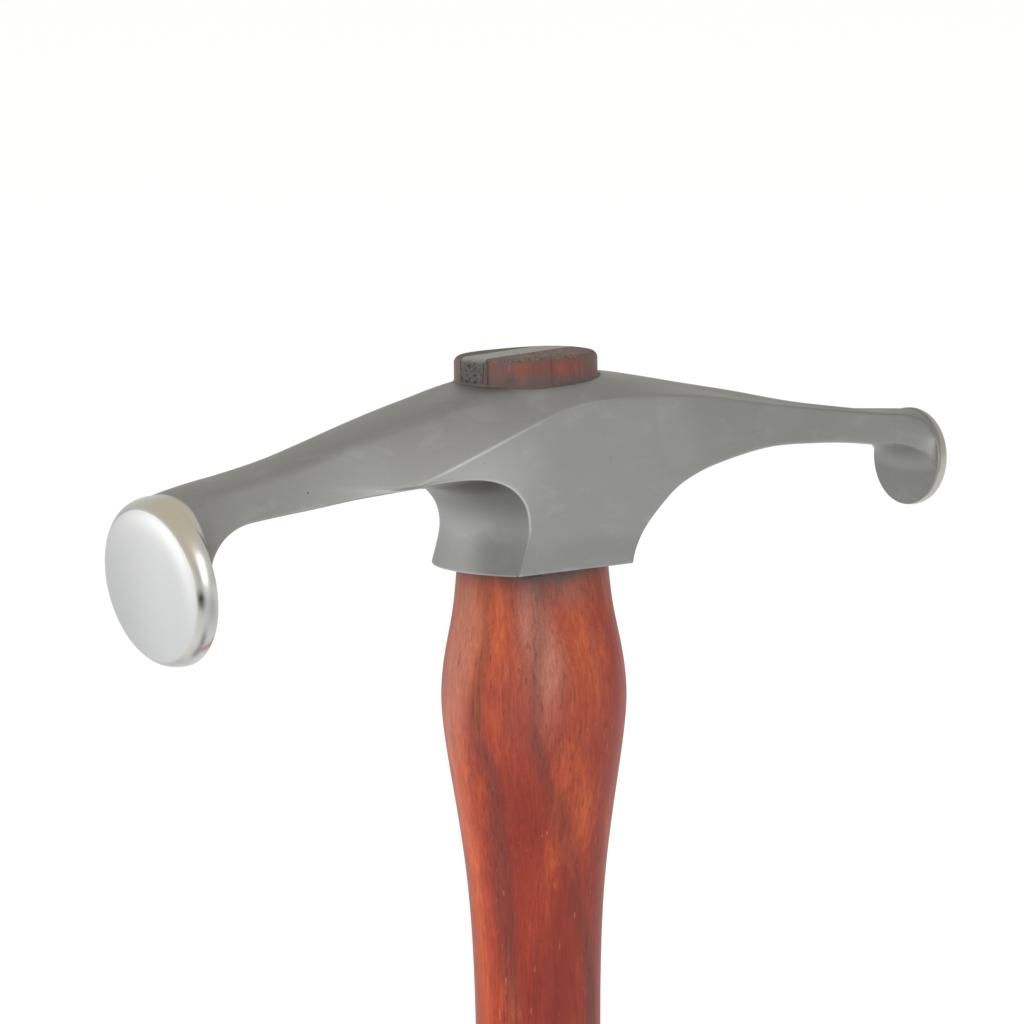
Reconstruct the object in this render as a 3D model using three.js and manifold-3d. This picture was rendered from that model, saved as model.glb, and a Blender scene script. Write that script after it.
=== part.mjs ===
// Planishing hammer: a forged steel head with a large and a small flat face, wedged and bedded in resin
// on a turned hardwood handle. X runs along the head, Y across its cheeks, Z up the handle. The origin is
// the centre of the flat at the handle's butt. All lengths are in millimetres and all angles in degrees.
import * as THREE from 'three';
import { mergeVertices } from 'three/addons/utils/BufferGeometryUtils.js';
import Module from 'manifold-3d';

const wasm = await Module();
wasm.setup();

// Driving dimensions of the handle
const handleLength = 220; // from the butt to the collar
const swellAlong = 3.1; // how far the handle swells beyond the tenon, along X
const swellAcross = 4.8; // the same along Y
const tenonStub = 3.15; // how far the tenon stands above the head's ridge
const tenonEdgeRound = 1.2;
const collarWall = 1.2; // least steel between the eye and the collar's end
const cheekWall = 2.2; // least steel between the eye and a cheek
const eyeShift = -0.8; // the eye lies slightly towards the large face

// Driving dimensions of the head, measured from the collar's underside and the handle's axis
const ridgeHeight = 29.5;
const cheekHalfThickness = 11.2;
const nearArmReach = 57.5; // from the axis to the flare behind the large face
const farArmReach = 69.5; // from the axis to the flare behind the small face
const shoulderRound = 3;
const creaseRound = 0.6;
const edgeRound = 0.5;

// Driving dimensions of the two faces
const largeFace = {
  flareLength: 13.8, // from the arm's end to the middle of the face
  height: 3.6,
  droop: 7.2,
  radius: 12.85,
  frontRound: 1.65, // how far the front rounding runs in from the rim
  frontDepth: 2.9, // how far it runs back from the flat
  rimDepth: 0.3,
  backRound: 0.45,
  fillet: 12.3,
};
const smallFace = {
  flareLength: 10,
  height: 9.75,
  droop: 3.3,
  radius: 7.85,
  frontRound: 1.25,
  frontDepth: 1.6,
  rimDepth: 1,
  backRound: 0.15,
  fillet: 4.5,
};

// Driving dimensions of the wedge and the bedding
const wedgeTopThickness = 5;
const wedgeTipThickness = 2;
const wedgeDepth = 26; // below the tenon's top
const wedgeTurn = 14; // away from the head's length, seen from above
const wedgeShift = 1.7; // from the eye's middle, across the head
const resinThickness = 0.4;
const fitGap = 0.3; // between neighbouring pieces
const cutOverrun = 2;

// Roundness of the handle's and the tenon's oval sections, where 1 is an ellipse
const handleRoundnessShare = 0.93;
const tenonRoundnessShare = 0.8;

// Counts of steps
const ovalSteps = 32;
const armSteps = 22;
const collarSteps = 3;
const crownSteps = 4;
const flankSteps = 3;
const cheekSteps = 4;
const keelSteps = 4;
const roundSteps = 2;
const flareSteps = 5;
const rimSteps = 3;

// Handle outline as shares: depth below the collar, half width, half depth
const handleOutlineShares = [
  [0, 0.848, 0.735],
  [0.032, 0.882, 0.83],
  [0.057, 0.945, 0.927],
  [0.093, 0.997, 0.997],
  [0.123, 0.964, 0.952],
  [0.173, 0.852, 0.831],
  [0.227, 0.748, 0.726],
  [0.282, 0.698, 0.676],
  [0.341, 0.682, 0.66],
  [0.41, 0.696, 0.672],
  [0.545, 0.797, 0.773],
  [0.682, 0.926, 0.898],
  [0.782, 0.973, 0.953],
  [0.886, 0.919, 0.906],
  [0.955, 0.79, 0.78],
  [0.985, 0.68, 0.67],
  [1, 0.59, 0.58],
];

// Tenon outline as shares: height between the collar and the tenon's top, size of the section
const tenonOutlineShares = [
  [0, 0.94],
  [0.35, 0.94],
  [0.85, 1],
  [1, 1],
];
const tenonHeightShares = [0, 0.2, 0.4, 0.6, 0.8];

// Guide curves over the top of the head. The first share runs from -1 at the large face's flare to 1 at
// the small face's flare, then come shares of the cheek's half thickness and of the ridge's height.
const ridgeShares = [
  [-1, 0.628],
  [-0.84, 0.691],
  [-0.67, 0.775],
  [-0.5, 0.862],
  [-0.33, 0.936],
  [-0.16, 0.986],
  [0, 1],
  [0.14, 0.992],
  [0.29, 0.935],
  [0.44, 0.862],
  [0.59, 0.79],
  [0.74, 0.712],
  [0.87, 0.659],
  [1, 0.61],
];
const shoulderShares = [
  [-1, 0.473, 0.603],
  [-0.84, 0.446, 0.659],
  [-0.67, 0.462, 0.747],
  [-0.5, 0.518, 0.83],
  [-0.33, 0.576, 0.902],
  [-0.16, 0.661, 0.962],
  [0, 0.741, 0.968],
  [0.14, 0.66, 0.958],
  [0.29, 0.5, 0.904],
  [0.44, 0.385, 0.835],
  [0.59, 0.31, 0.765],
  [0.74, 0.26, 0.698],
  [0.87, 0.25, 0.643],
  [1, 0.29, 0.608],
];
const creaseShares = [
  [-0.51, 1, 0.534],
  [-0.417, 1, 0.593],
  [-0.278, 1, 0.685],
  [-0.139, 1, 0.776],
  [0, 1, 0.852],
  [0.1, 1, 0.868],
  [0.2, 1, 0.867],
  [0.29, 0.938, 0.855],
  [0.42, 0.775, 0.818],
  [0.56, 0.6, 0.757],
  [0.7, 0.48, 0.703],
  [0.84, 0.438, 0.656],
  [1, 0.482, 0.605],
];

// Guide curves under the head, from the collar's corner out along each arm. The first value is the share
// of the way out, then come shares of the arm's reach, of the cheek's half thickness and of the ridge's
// height. The edge is where the cheek ends, and the keel is the middle of the underside. The top shares
// give, for the same shares of the way out, how far out the ridge, the shoulder and the crease lie. Over
// the scoop they lag behind, so that the cheek's lines fan out without crossing.
const nearUnderside = {
  edgeShares: [
    [0.15, 0.192, 1, 0],
    [0.175, 0.176, 1, 0.088],
    [0.2, 0.161, 1, 0.177],
    [0.235, 0.1565, 1, 0.265],
    [0.275, 0.167, 1, 0.36],
    [0.32, 0.206, 1, 0.45],
    [0.37, 0.272, 1, 0.508],
    [0.43, 0.368, 1, 0.531],
    [0.51, 0.51, 1, 0.523],
    [0.595, 0.595, 0.884, 0.502],
    [0.69, 0.69, 0.741, 0.48],
    [0.8, 0.8, 0.643, 0.451],
    [0.9, 0.9, 0.598, 0.431],
    [1, 1, 0.607, 0.414],
  ],
  keelShares: [
    [0.15, 0.256, 0, 0],
    [0.175, 0.25, 0, 0.088],
    [0.2, 0.246, 0, 0.17],
    [0.235, 0.25, 0, 0.258],
    [0.275, 0.27, 0, 0.342],
    [0.32, 0.313, 0, 0.427],
    [0.37, 0.37, 0, 0.458],
    [0.43, 0.438, 0, 0.471],
    [0.51, 0.525, 0, 0.471],
    [0.595, 0.6, 0, 0.465],
    [0.69, 0.69, 0, 0.451],
    [0.8, 0.8, 0, 0.431],
    [0.9, 0.9, 0, 0.417],
    [1, 1, 0, 0.397],
  ],
  topShares: [
    [0.15, 0.01],
    [0.175, 0.038],
    [0.2, 0.07],
    [0.235, 0.115],
    [0.275, 0.174],
    [0.32, 0.25],
    [0.37, 0.335],
    [0.43, 0.42],
    [0.51, 0.51],
    [0.6, 0.6],
    [1, 1],
  ],
};
const farUnderside = {
  edgeShares: [
    [0.15, 0.157, 1, 0],
    [0.172, 0.163, 1, 0.058],
    [0.2, 0.186, 1, 0.156],
    [0.24, 0.233, 1, 0.271],
    [0.29, 0.291, 1, 0.376],
    [0.34, 0.355, 1, 0.44],
    [0.4, 0.418, 0.94, 0.47],
    [0.5, 0.505, 0.79, 0.491],
    [0.63, 0.63, 0.61, 0.507],
    [0.76, 0.76, 0.505, 0.494],
    [0.88, 0.88, 0.46, 0.474],
    [1, 1, 0.5, 0.437],
  ],
  keelShares: [
    [0.15, 0.211, 0, 0],
    [0.172, 0.213, 0, 0.058],
    [0.2, 0.228, 0, 0.153],
    [0.24, 0.264, 0, 0.261],
    [0.29, 0.314, 0, 0.359],
    [0.34, 0.37, 0, 0.424],
    [0.4, 0.426, 0, 0.458],
    [0.5, 0.507, 0, 0.48],
    [0.63, 0.63, 0, 0.495],
    [0.76, 0.76, 0, 0.48],
    [0.88, 0.88, 0, 0.458],
    [1, 1, 0, 0.421],
  ],
  topShares: [
    [0.15, 0.15],
    [1, 1],
  ],
};
const collarShare = nearUnderside.edgeShares[0][0]; // share of the way out that the collar takes
const cheekTipShare = -creaseShares[0][0]; // where the cheek's flat runs out on the near arm
const flankRunoutShare = 0.34; // further share over which the crease fades up the flank
const flankLowShare = 0.02; // how far up the flank the crease starts to fade
const flankFadeShare = 0.45; // how much further up it ends
const crownControlShare = 0.45; // roundness of the crown, as a share of the shoulder's half width
const filletShare = 0.45; // most of an adjoining stretch that a rounding may take
const keelRoundnessShare = 0.45; // how round the underside is across its middle
const stepEvennessShare = 0.83; // how evenly the steps are spread, which are closer at the collar

// Angle on a face's rim that each guide curve runs out to, from the top round to the bottom
const nearRimAngles = [90, 52, 22, -4, -90];
const farRimAngles = [90, 76, 42, -10, -90];

const eyeGrowth = 2 * fitGap + resinThickness;
const nearCollarEnd = nearUnderside.keelShares[0][1] * nearArmReach;
const farCollarEnd = farUnderside.keelShares[0][1] * farArmReach;
const collarEnd = Math.min(nearCollarEnd, farCollarEnd);
const tenonHalfWidth = collarEnd - collarWall - eyeGrowth - Math.abs(eyeShift);
const tenonHalfDepth = cheekHalfThickness - cheekWall - eyeGrowth;
const handleHalfWidth = tenonHalfWidth + swellAlong;
const handleHalfDepth = tenonHalfDepth + swellAcross;
const tenonTop = ridgeHeight + tenonStub;

// Natural cubic spline through rows whose first entry is the knot, returned as a function of the knot
function splineThrough(rows) {
  const last = rows.length - 1;
  const columns = rows[0].length;
  const bend = rows.map((row) => row.map(() => 0));
  for (let c = 1; c < columns; c++) {
    const slope = new Array(last + 1).fill(0);
    for (let i = 1; i < last; i++) {
      const before = rows[i][0] - rows[i - 1][0];
      const after = rows[i + 1][0] - rows[i][0];
      const rise = (rows[i + 1][c] - rows[i][c]) / after - (rows[i][c] - rows[i - 1][c]) / before;
      const pivot = 2 * (before + after) - before * slope[i - 1];
      slope[i] = after / pivot;
      bend[i][c] = (6 * rise - before * bend[i - 1][c]) / pivot;
    }
    for (let i = last - 1; i > 0; i--) {
      bend[i][c] -= slope[i] * bend[i + 1][c];
    }
  }
  return (at) => {
    const x = Math.min(Math.max(at, rows[0][0]), rows[last][0]);
    let i = 0;
    while (i < last - 1 && x > rows[i + 1][0]) {
      i++;
    }
    const span = rows[i + 1][0] - rows[i][0];
    const right = (x - rows[i][0]) / span;
    const left = 1 - right;
    return rows[i].slice(1).map((value, k) => {
      const c = k + 1;
      const curve = (left ** 3 - left) * bend[i][c] + (right ** 3 - right) * bend[i + 1][c];
      return left * value + right * rows[i + 1][c] + (curve * span * span) / 6;
    });
  };
}

// Points of a quadratic curve from a to b bent towards the control point, without its first point
function bendBetween(a, control, b, steps) {
  const points = [];
  for (let i = 1; i <= steps; i++) {
    const u = i / steps;
    const point = a.clone().multiplyScalar((1 - u) ** 2);
    point.addScaledVector(control, 2 * u * (1 - u)).addScaledVector(b, u * u);
    points.push(point);
  }
  return points;
}

function straightBetween(a, b, steps) {
  return bendBetween(a, a.clone().lerp(b, 0.5), b, steps);
}

// Point on the stretch from one guide point towards another, at a given distance
function stepTowards(from, to, distance) {
  return from.clone().addScaledVector(to.clone().sub(from).normalize(), distance);
}

const ridgeAt = splineThrough(ridgeShares);
const shoulderAt = splineThrough(shoulderShares);
const creaseAt = splineThrough(creaseShares);

// Point on a guide curve over the top, at a signed share of the way out and x on the head
function topPoint(guide, share, x) {
  const [width, height] = guide(share);
  return new THREE.Vector3(x, width * cheekHalfThickness, height * ridgeHeight);
}

// Point on a guide curve under the head
function undersidePoint(guide, out, side, reach) {
  const [along, width, height] = guide(Math.max(out, collarShare));
  const x = along * reach * side * Math.min(out / collarShare, 1);
  return new THREE.Vector3(x, width * cheekHalfThickness, height * ridgeHeight);
}

// Half of one cross-section, on the +Y side, from the ridge down to the keel
function halfSection(arm, out) {
  const share = arm.topAt(Math.max(out, collarShare))[0] * Math.min(out / collarShare, 1) * arm.side;
  const x = share * arm.reach;
  const ridge = new THREE.Vector3(x, 0, ridgeAt(share)[0] * ridgeHeight);
  const shoulder = topPoint(shoulderAt, share, x);
  const edge = undersidePoint(arm.edgeAt, out, arm.side, arm.reach);
  const keel = undersidePoint(arm.keelAt, out, arm.side, arm.reach);
  let crease = topPoint(creaseAt, share, x);
  if (arm.side < 0 && out > cheekTipShare) {
    const fade = THREE.MathUtils.smoothstep(out, cheekTipShare, cheekTipShare + flankRunoutShare);
    crease = edge.clone().lerp(shoulder, flankLowShare + flankFadeShare * fade);
  }
  const crownControl = new THREE.Vector3(x, shoulder.y * crownControlShare, ridge.z);
  const crownLength = crownControl.distanceTo(shoulder);
  const flankLength = shoulder.distanceTo(crease);
  const cheekLength = crease.distanceTo(edge);
  const round1 = Math.min(shoulderRound, filletShare * crownLength, filletShare * flankLength);
  const round2 = Math.min(creaseRound, filletShare * flankLength, filletShare * cheekLength);
  const round3 = Math.min(edgeRound, filletShare * cheekLength);
  const crownEnd = stepTowards(shoulder, crownControl, round1);
  const flankStart = stepTowards(shoulder, crease, round1);
  const flankEnd = stepTowards(crease, shoulder, round2);
  const cheekStart = stepTowards(crease, edge, round2);
  const cheekEnd = stepTowards(edge, crease, round3);
  const keelPoints = [];
  for (let i = 0; i <= keelSteps; i++) {
    const width = (1 - round3 / edge.y) * (1 - i / keelSteps);
    const bulge = width ** (1 / keelRoundnessShare);
    const point = keel.clone().lerp(edge, bulge);
    point.y = width * edge.y;
    keelPoints.push(point);
  }
  return [
    ridge,
    ...bendBetween(ridge, crownControl, crownEnd, crownSteps),
    ...bendBetween(crownEnd, shoulder, flankStart, roundSteps),
    ...straightBetween(flankStart, flankEnd, flankSteps),
    ...bendBetween(flankEnd, crease, cheekStart, roundSteps),
    ...straightBetween(cheekStart, cheekEnd, cheekSteps),
    ...bendBetween(cheekEnd, edge, keelPoints[0], roundSteps),
    ...keelPoints.slice(1),
  ];
}

// Indices in a half section where the guide curves lie
function guideMarks() {
  const shoulder = crownSteps + roundSteps / 2;
  const crease = shoulder + roundSteps + flankSteps;
  const edge = crease + roundSteps + cheekSteps;
  return [0, shoulder, crease, edge, edge + roundSteps / 2 + keelSteps];
}

// Angle on the rim for each index of a half section
function rimAngle(index, angles) {
  const marks = guideMarks();
  let i = 0;
  while (i < marks.length - 2 && index > marks[i + 1]) {
    i++;
  }
  const u = (index - marks[i]) / (marks[i + 1] - marks[i]);
  return THREE.MathUtils.degToRad(angles[i] + (angles[i + 1] - angles[i]) * u);
}

// Half rings from an arm's last section, through the flare and the rim, to the edge of the flat face
function faceRings(arm, lastSection) {
  const face = arm.face;
  const droop = THREE.MathUtils.degToRad(face.droop);
  const outward = new THREE.Vector3(arm.side * Math.cos(droop), 0, -Math.sin(droop));
  const upward = new THREE.Vector3(arm.side * Math.sin(droop), 0, Math.cos(droop));
  const backRadius = face.radius - face.backRound;
  const thickness = face.frontDepth + face.rimDepth;
  const centre = new THREE.Vector3(arm.side * (arm.reach + face.flareLength), 0, face.height);
  const rimPoint = (index, radius, behind) => {
    const angle = rimAngle(index, arm.angles);
    const point = centre.clone().addScaledVector(outward, -behind);
    point.addScaledVector(upward, Math.sin(angle) * radius);
    point.y += Math.cos(angle) * radius;
    return point;
  };
  const rings = [];
  const flare = lastSection.map((point, index) => {
    const back = rimPoint(index, backRadius, thickness);
    const distance = back.clone().sub(point).dot(outward);
    const foot = point.clone().addScaledVector(outward, distance);
    const spread = back.clone().sub(foot);
    return { back, foot, distance, width: spread.length(), direction: spread.normalize() };
  });
  for (let i = 1; i <= flareSteps; i++) {
    const turn = ((i / flareSteps) * Math.PI) / 2;
    rings.push(
      flare.map(({ foot, distance, width, direction }) => {
        const point = foot.clone().addScaledVector(outward, -distance * (1 - Math.sin(turn)));
        const radial = Math.min(width, face.fillet) * (1 - Math.cos(turn));
        return point.addScaledVector(direction, radial);
      })
    );
  }
  rings.push(flare.map(({ back }) => back));
  rings.push(flare.map((_, index) => rimPoint(index, face.radius, face.frontDepth)));
  for (let i = 1; i <= rimSteps; i++) {
    const turn = ((i / rimSteps) * Math.PI) / 2;
    const radius = face.radius - face.frontRound * (1 - Math.cos(turn));
    const behind = face.frontDepth * (1 - Math.sin(turn));
    rings.push(flare.map((_, index) => rimPoint(index, radius, behind)));
  }
  return { rings, pole: centre };
}

// All half rings of one arm, from the middle of the head outwards
function armRings(arm) {
  const rings = [];
  for (let i = 0; i < collarSteps; i++) {
    rings.push(halfSection(arm, (collarShare * i) / collarSteps));
  }
  for (let i = 0; i <= armSteps; i++) {
    const out = collarShare + (1 - collarShare) * (i / armSteps) ** (1 / stepEvennessShare);
    rings.push(halfSection(arm, out));
  }
  const face = faceRings(arm, rings[rings.length - 1]);
  return { rings: [...rings, ...face.rings], pole: face.pole };
}

// A closed ring made of a half ring and its mirror image in Y
function wholeRing(half) {
  const mirrored = half.slice(1, -1).map((p) => new THREE.Vector3(p.x, -p.y, p.z));
  return [...half, ...mirrored.reverse()];
}

// Closed body through rings of equally many points, with a pole at each end
function loft(rings, firstPole, lastPole) {
  const count = rings[0].length;
  const points = [...rings.flat(), firstPole, lastPole];
  const first = rings.length * count;
  const last = first + 1;
  const faces = [];
  for (let i = 0; i + 1 < rings.length; i++) {
    for (let j = 0; j < count; j++) {
      const next = (j + 1) % count;
      const a = i * count + j;
      const b = i * count + next;
      const c = a + count;
      const d = b + count;
      faces.push(a, c, d, a, d, b);
    }
  }
  const end = (rings.length - 1) * count;
  for (let j = 0; j < count; j++) {
    const next = (j + 1) % count;
    faces.push(first, j, next, last, end + next, end + j);
  }
  const numbers = points.flatMap((p) => [p.x, p.y, p.z]);
  const geometry = new THREE.BufferGeometry();
  geometry.setAttribute('position', new THREE.Float32BufferAttribute(numbers, 3));
  geometry.setIndex(faces);
  return geometry;
}

function toSolid(geometry) {
  geometry.deleteAttribute('normal');
  geometry.deleteAttribute('uv');
  const merged = mergeVertices(geometry);
  const vertProperties = new Float32Array(merged.attributes.position.array);
  const triVerts = new Uint32Array(merged.index.array);
  return new wasm.Manifold(new wasm.Mesh({ numProp: 3, vertProperties, triVerts }));
}

function toGeometry(solid) {
  const mesh = solid.getMesh();
  const geometry = new THREE.BufferGeometry();
  geometry.setAttribute('position', new THREE.BufferAttribute(new Float32Array(mesh.vertProperties), 3));
  geometry.setIndex(new THREE.BufferAttribute(new Uint32Array(mesh.triVerts), 1));
  geometry.computeVertexNormals();
  return geometry;
}

// Ring of an oval section at a height above the collar, going round so that a loft upwards faces out
function ovalRing(halfWidth, halfDepth, roundness, centreX, height) {
  const ring = [];
  for (let i = 0; i < ovalSteps; i++) {
    const turn = (2 * Math.PI * i) / ovalSteps;
    const c = Math.cos(turn);
    const s = Math.sin(turn);
    const x = centreX + halfWidth * Math.sign(c) * Math.abs(c) ** roundness;
    const y = -halfDepth * Math.sign(s) * Math.abs(s) ** roundness;
    ring.push(new THREE.Vector3(x, y, height));
  }
  return ring;
}

const tenonScaleAt = splineThrough(tenonOutlineShares);

// Tenon section at a height above the collar, grown all round by a clearance
function tenonRing(height, growth) {
  const [scale] = tenonScaleAt(height / tenonTop);
  const halfWidth = tenonHalfWidth * scale + growth;
  const halfDepth = tenonHalfDepth * scale + growth;
  return ovalRing(halfWidth, halfDepth, tenonRoundnessShare, eyeShift, height);
}

// Rings up the tenon's sides and over its rounded top edge
function tenonRings() {
  const rings = tenonHeightShares.map((share) => tenonRing(share * tenonTop, 0));
  for (let i = 0; i <= rimSteps; i++) {
    const turn = ((i / rimSteps) * Math.PI) / 2;
    const inset = tenonEdgeRound * (1 - Math.cos(turn));
    const halfWidth = tenonHalfWidth - inset;
    const halfDepth = tenonHalfDepth - inset;
    const height = tenonTop - tenonEdgeRound * (1 - Math.sin(turn));
    rings.push(ovalRing(halfWidth, halfDepth, tenonRoundnessShare, eyeShift, height));
  }
  return rings;
}

// Straight-sided column through the eye, as wide as the tenon plus a clearance
function eyeColumn(growth) {
  const top = tenonTop + cutOverrun;
  const heights = [-cutOverrun, ...tenonHeightShares.map((share) => share * tenonTop), tenonTop, top];
  const rings = heights.map((height) => {
    const ring = tenonRing(Math.min(Math.max(height, 0), tenonTop), growth);
    return ring.map((point) => point.setZ(height));
  });
  return loft(rings, new THREE.Vector3(eyeShift, 0, -cutOverrun), new THREE.Vector3(eyeShift, 0, top));
}

// Tapered slab that fills the tenon's kerf, grown on its flanks and tip by a clearance
function wedgeSlab(growth) {
  const tip = tenonTop - wedgeDepth - growth;
  const top = tenonTop + cutOverrun;
  const taper = (wedgeTopThickness - wedgeTipThickness) / wedgeDepth / 2;
  const halfTip = wedgeTipThickness / 2 + growth;
  const halfTop = halfTip + taper * (top - tip);
  const outline = new THREE.Shape([
    new THREE.Vector2(-halfTip, tip),
    new THREE.Vector2(halfTip, tip),
    new THREE.Vector2(halfTop, top),
    new THREE.Vector2(-halfTop, top),
  ]);
  const length = 2 * (tenonHalfWidth + tenonHalfDepth + cutOverrun);
  const slab = new THREE.ExtrudeGeometry(outline, { depth: length, bevelEnabled: false });
  const along = new THREE.Vector3(1, 0, 0);
  const across = new THREE.Vector3(0, 1, 0);
  const up = new THREE.Vector3(0, 0, 1);
  slab.applyMatrix4(new THREE.Matrix4().makeBasis(across, up, along));
  slab.translate(-length / 2, 0, 0);
  slab.rotateZ(THREE.MathUtils.degToRad(wedgeTurn));
  slab.translate(eyeShift, wedgeShift, 0);
  return slab;
}

function handleSolid() {
  const outline = splineThrough(handleOutlineShares);
  const rings = [...handleOutlineShares].reverse().map(([share]) => {
    const [width, depth] = outline(share);
    const height = -fitGap - share * (handleLength - fitGap);
    const halfWidth = width * handleHalfWidth;
    const halfDepth = depth * handleHalfDepth;
    return ovalRing(halfWidth, halfDepth, handleRoundnessShare, 0, height);
  });
  const shoulder = tenonRing(0, 0).map((point) => point.setZ(-fitGap));
  const all = [...rings, shoulder, ...tenonRings()];
  const butt = new THREE.Vector3(0, 0, -handleLength);
  const crown = new THREE.Vector3(eyeShift, 0, tenonTop);
  return toSolid(loft(all, butt, crown));
}

function headSolid() {
  const near = armRings({
    side: -1,
    reach: nearArmReach,
    face: largeFace,
    angles: nearRimAngles,
    edgeAt: splineThrough(nearUnderside.edgeShares),
    keelAt: splineThrough(nearUnderside.keelShares),
    topAt: splineThrough(nearUnderside.topShares),
  });
  const far = armRings({
    side: 1,
    reach: farArmReach,
    face: smallFace,
    angles: farRimAngles,
    edgeAt: splineThrough(farUnderside.edgeShares),
    keelAt: splineThrough(farUnderside.keelShares),
    topAt: splineThrough(farUnderside.topShares),
  });
  const rings = [...near.rings.slice(1).reverse(), ...far.rings].map(wholeRing);
  return toSolid(loft(rings, near.pole, far.pole));
}

function steel() {
  return new THREE.MeshStandardMaterial({ color: 0x8d8d8a, roughness: 0.45, metalness: 1 });
}

function hardwood() {
  return new THREE.MeshStandardMaterial({ color: 0xa5432a, roughness: 0.5, metalness: 0 });
}

function greyFiller() {
  return new THREE.MeshStandardMaterial({ color: 0x77766f, roughness: 0.6, metalness: 0.2 });
}

function darkResin() {
  return new THREE.MeshStandardMaterial({ color: 0x2c2826, roughness: 0.6, metalness: 0 });
}

const headBody = headSolid();
const handleBody = handleSolid();
const wedgeBody = handleBody.intersect(toSolid(wedgeSlab(0)));
const resinColumn = toSolid(eyeColumn(fitGap + resinThickness)).subtract(toSolid(eyeColumn(fitGap)));

const pieces = [
  ['hammer_head', headBody.subtract(toSolid(eyeColumn(eyeGrowth))), steel()],
  ['handle', handleBody.subtract(toSolid(wedgeSlab(fitGap))), hardwood()],
  ['tenon_wedge', wedgeBody, greyFiller()],
  ['bedding_resin', resinColumn.intersect(headBody), darkResin()],
];

const hammer = new THREE.Group();
for (const [name, solid, material] of pieces) {
  const mesh = new THREE.Mesh(toGeometry(solid), material);
  mesh.name = name;
  mesh.position.z = handleLength;
  hammer.add(mesh);
}

export default hammer;
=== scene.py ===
"""A planishing hammer on a plain pale floor: satin steel head, two polished faces, wedged red hardwood handle."""
import math
from typing import NamedTuple

import bmesh
import bpy
import numpy as np
from bpy.props import FloatProperty, FloatVectorProperty, PointerProperty
from bpy.types import Operator, Panel, PropertyGroup
from mathutils import Matrix, Vector


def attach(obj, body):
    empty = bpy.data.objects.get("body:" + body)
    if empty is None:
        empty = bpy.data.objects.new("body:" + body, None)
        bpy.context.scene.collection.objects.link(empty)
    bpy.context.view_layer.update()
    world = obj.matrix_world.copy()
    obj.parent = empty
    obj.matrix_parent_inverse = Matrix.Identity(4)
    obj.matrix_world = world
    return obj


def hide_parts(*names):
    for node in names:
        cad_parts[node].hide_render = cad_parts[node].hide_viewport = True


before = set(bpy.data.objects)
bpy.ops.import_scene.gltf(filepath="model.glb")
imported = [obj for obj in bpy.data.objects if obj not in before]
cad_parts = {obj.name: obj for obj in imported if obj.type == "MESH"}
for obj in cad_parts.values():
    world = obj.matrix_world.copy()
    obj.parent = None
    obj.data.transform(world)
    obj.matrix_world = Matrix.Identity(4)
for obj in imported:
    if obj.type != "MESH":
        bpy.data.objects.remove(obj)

bl_info = {
    "name": "Planishing Hammer",
    "version": (1, 0, 0),
    "blender": (4, 5, 0),
    "location": "3D View > Sidebar > Hammer",
    "description": "Builds a planishing hammer with a steel head and a wedged hardwood handle",
    "category": "Add Mesh",
}

MM = 0.001
BODY = "root"

# Guide curves over the top of the head. The first share runs from -1 at the large face's flare to 1 at the
# small face's flare, then come shares of the cheek's half thickness and of the ridge's height.
RIDGE_SHARES = [
    (-1, 0.628), (-0.84, 0.691), (-0.67, 0.775), (-0.5, 0.862), (-0.33, 0.936), (-0.16, 0.986), (0, 1),
    (0.14, 0.992), (0.29, 0.935), (0.44, 0.862), (0.59, 0.79), (0.74, 0.712), (0.87, 0.659), (1, 0.61),
]
SHOULDER_SHARES = [
    (-1, 0.473, 0.603), (-0.84, 0.446, 0.659), (-0.67, 0.462, 0.747), (-0.5, 0.518, 0.83),
    (-0.33, 0.576, 0.902), (-0.16, 0.661, 0.962), (0, 0.741, 0.968), (0.14, 0.66, 0.958),
    (0.29, 0.5, 0.904), (0.44, 0.385, 0.835), (0.59, 0.31, 0.765), (0.74, 0.26, 0.698),
    (0.87, 0.25, 0.643), (1, 0.29, 0.608),
]
CREASE_SHARES = [
    (-0.51, 1, 0.534), (-0.417, 1, 0.593), (-0.278, 1, 0.685), (-0.139, 1, 0.776), (0, 1, 0.852),
    (0.1, 1, 0.868), (0.2, 1, 0.867), (0.29, 0.938, 0.855), (0.42, 0.775, 0.818), (0.56, 0.6, 0.757),
    (0.7, 0.48, 0.703), (0.84, 0.438, 0.656), (1, 0.482, 0.605),
]

# Guide curves under the head, from the collar's corner out along each arm: the share of the way out, then
# shares of the arm's reach, of the cheek's half thickness and of the ridge's height.
NEAR_EDGE_SHARES = [
    (0.15, 0.192, 1, 0), (0.175, 0.176, 1, 0.088), (0.2, 0.161, 1, 0.177), (0.235, 0.1565, 1, 0.265),
    (0.275, 0.167, 1, 0.36), (0.32, 0.206, 1, 0.45), (0.37, 0.272, 1, 0.508), (0.43, 0.368, 1, 0.531),
    (0.51, 0.51, 1, 0.523), (0.595, 0.595, 0.884, 0.502), (0.69, 0.69, 0.741, 0.48),
    (0.8, 0.8, 0.643, 0.451), (0.9, 0.9, 0.598, 0.431), (1, 1, 0.607, 0.414),
]
NEAR_KEEL_SHARES = [
    (0.15, 0.256, 0, 0), (0.175, 0.25, 0, 0.088), (0.2, 0.246, 0, 0.17), (0.235, 0.25, 0, 0.258),
    (0.275, 0.27, 0, 0.342), (0.32, 0.313, 0, 0.427), (0.37, 0.37, 0, 0.458), (0.43, 0.438, 0, 0.471),
    (0.51, 0.525, 0, 0.471), (0.595, 0.6, 0, 0.465), (0.69, 0.69, 0, 0.451), (0.8, 0.8, 0, 0.431),
    (0.9, 0.9, 0, 0.417), (1, 1, 0, 0.397),
]
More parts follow.
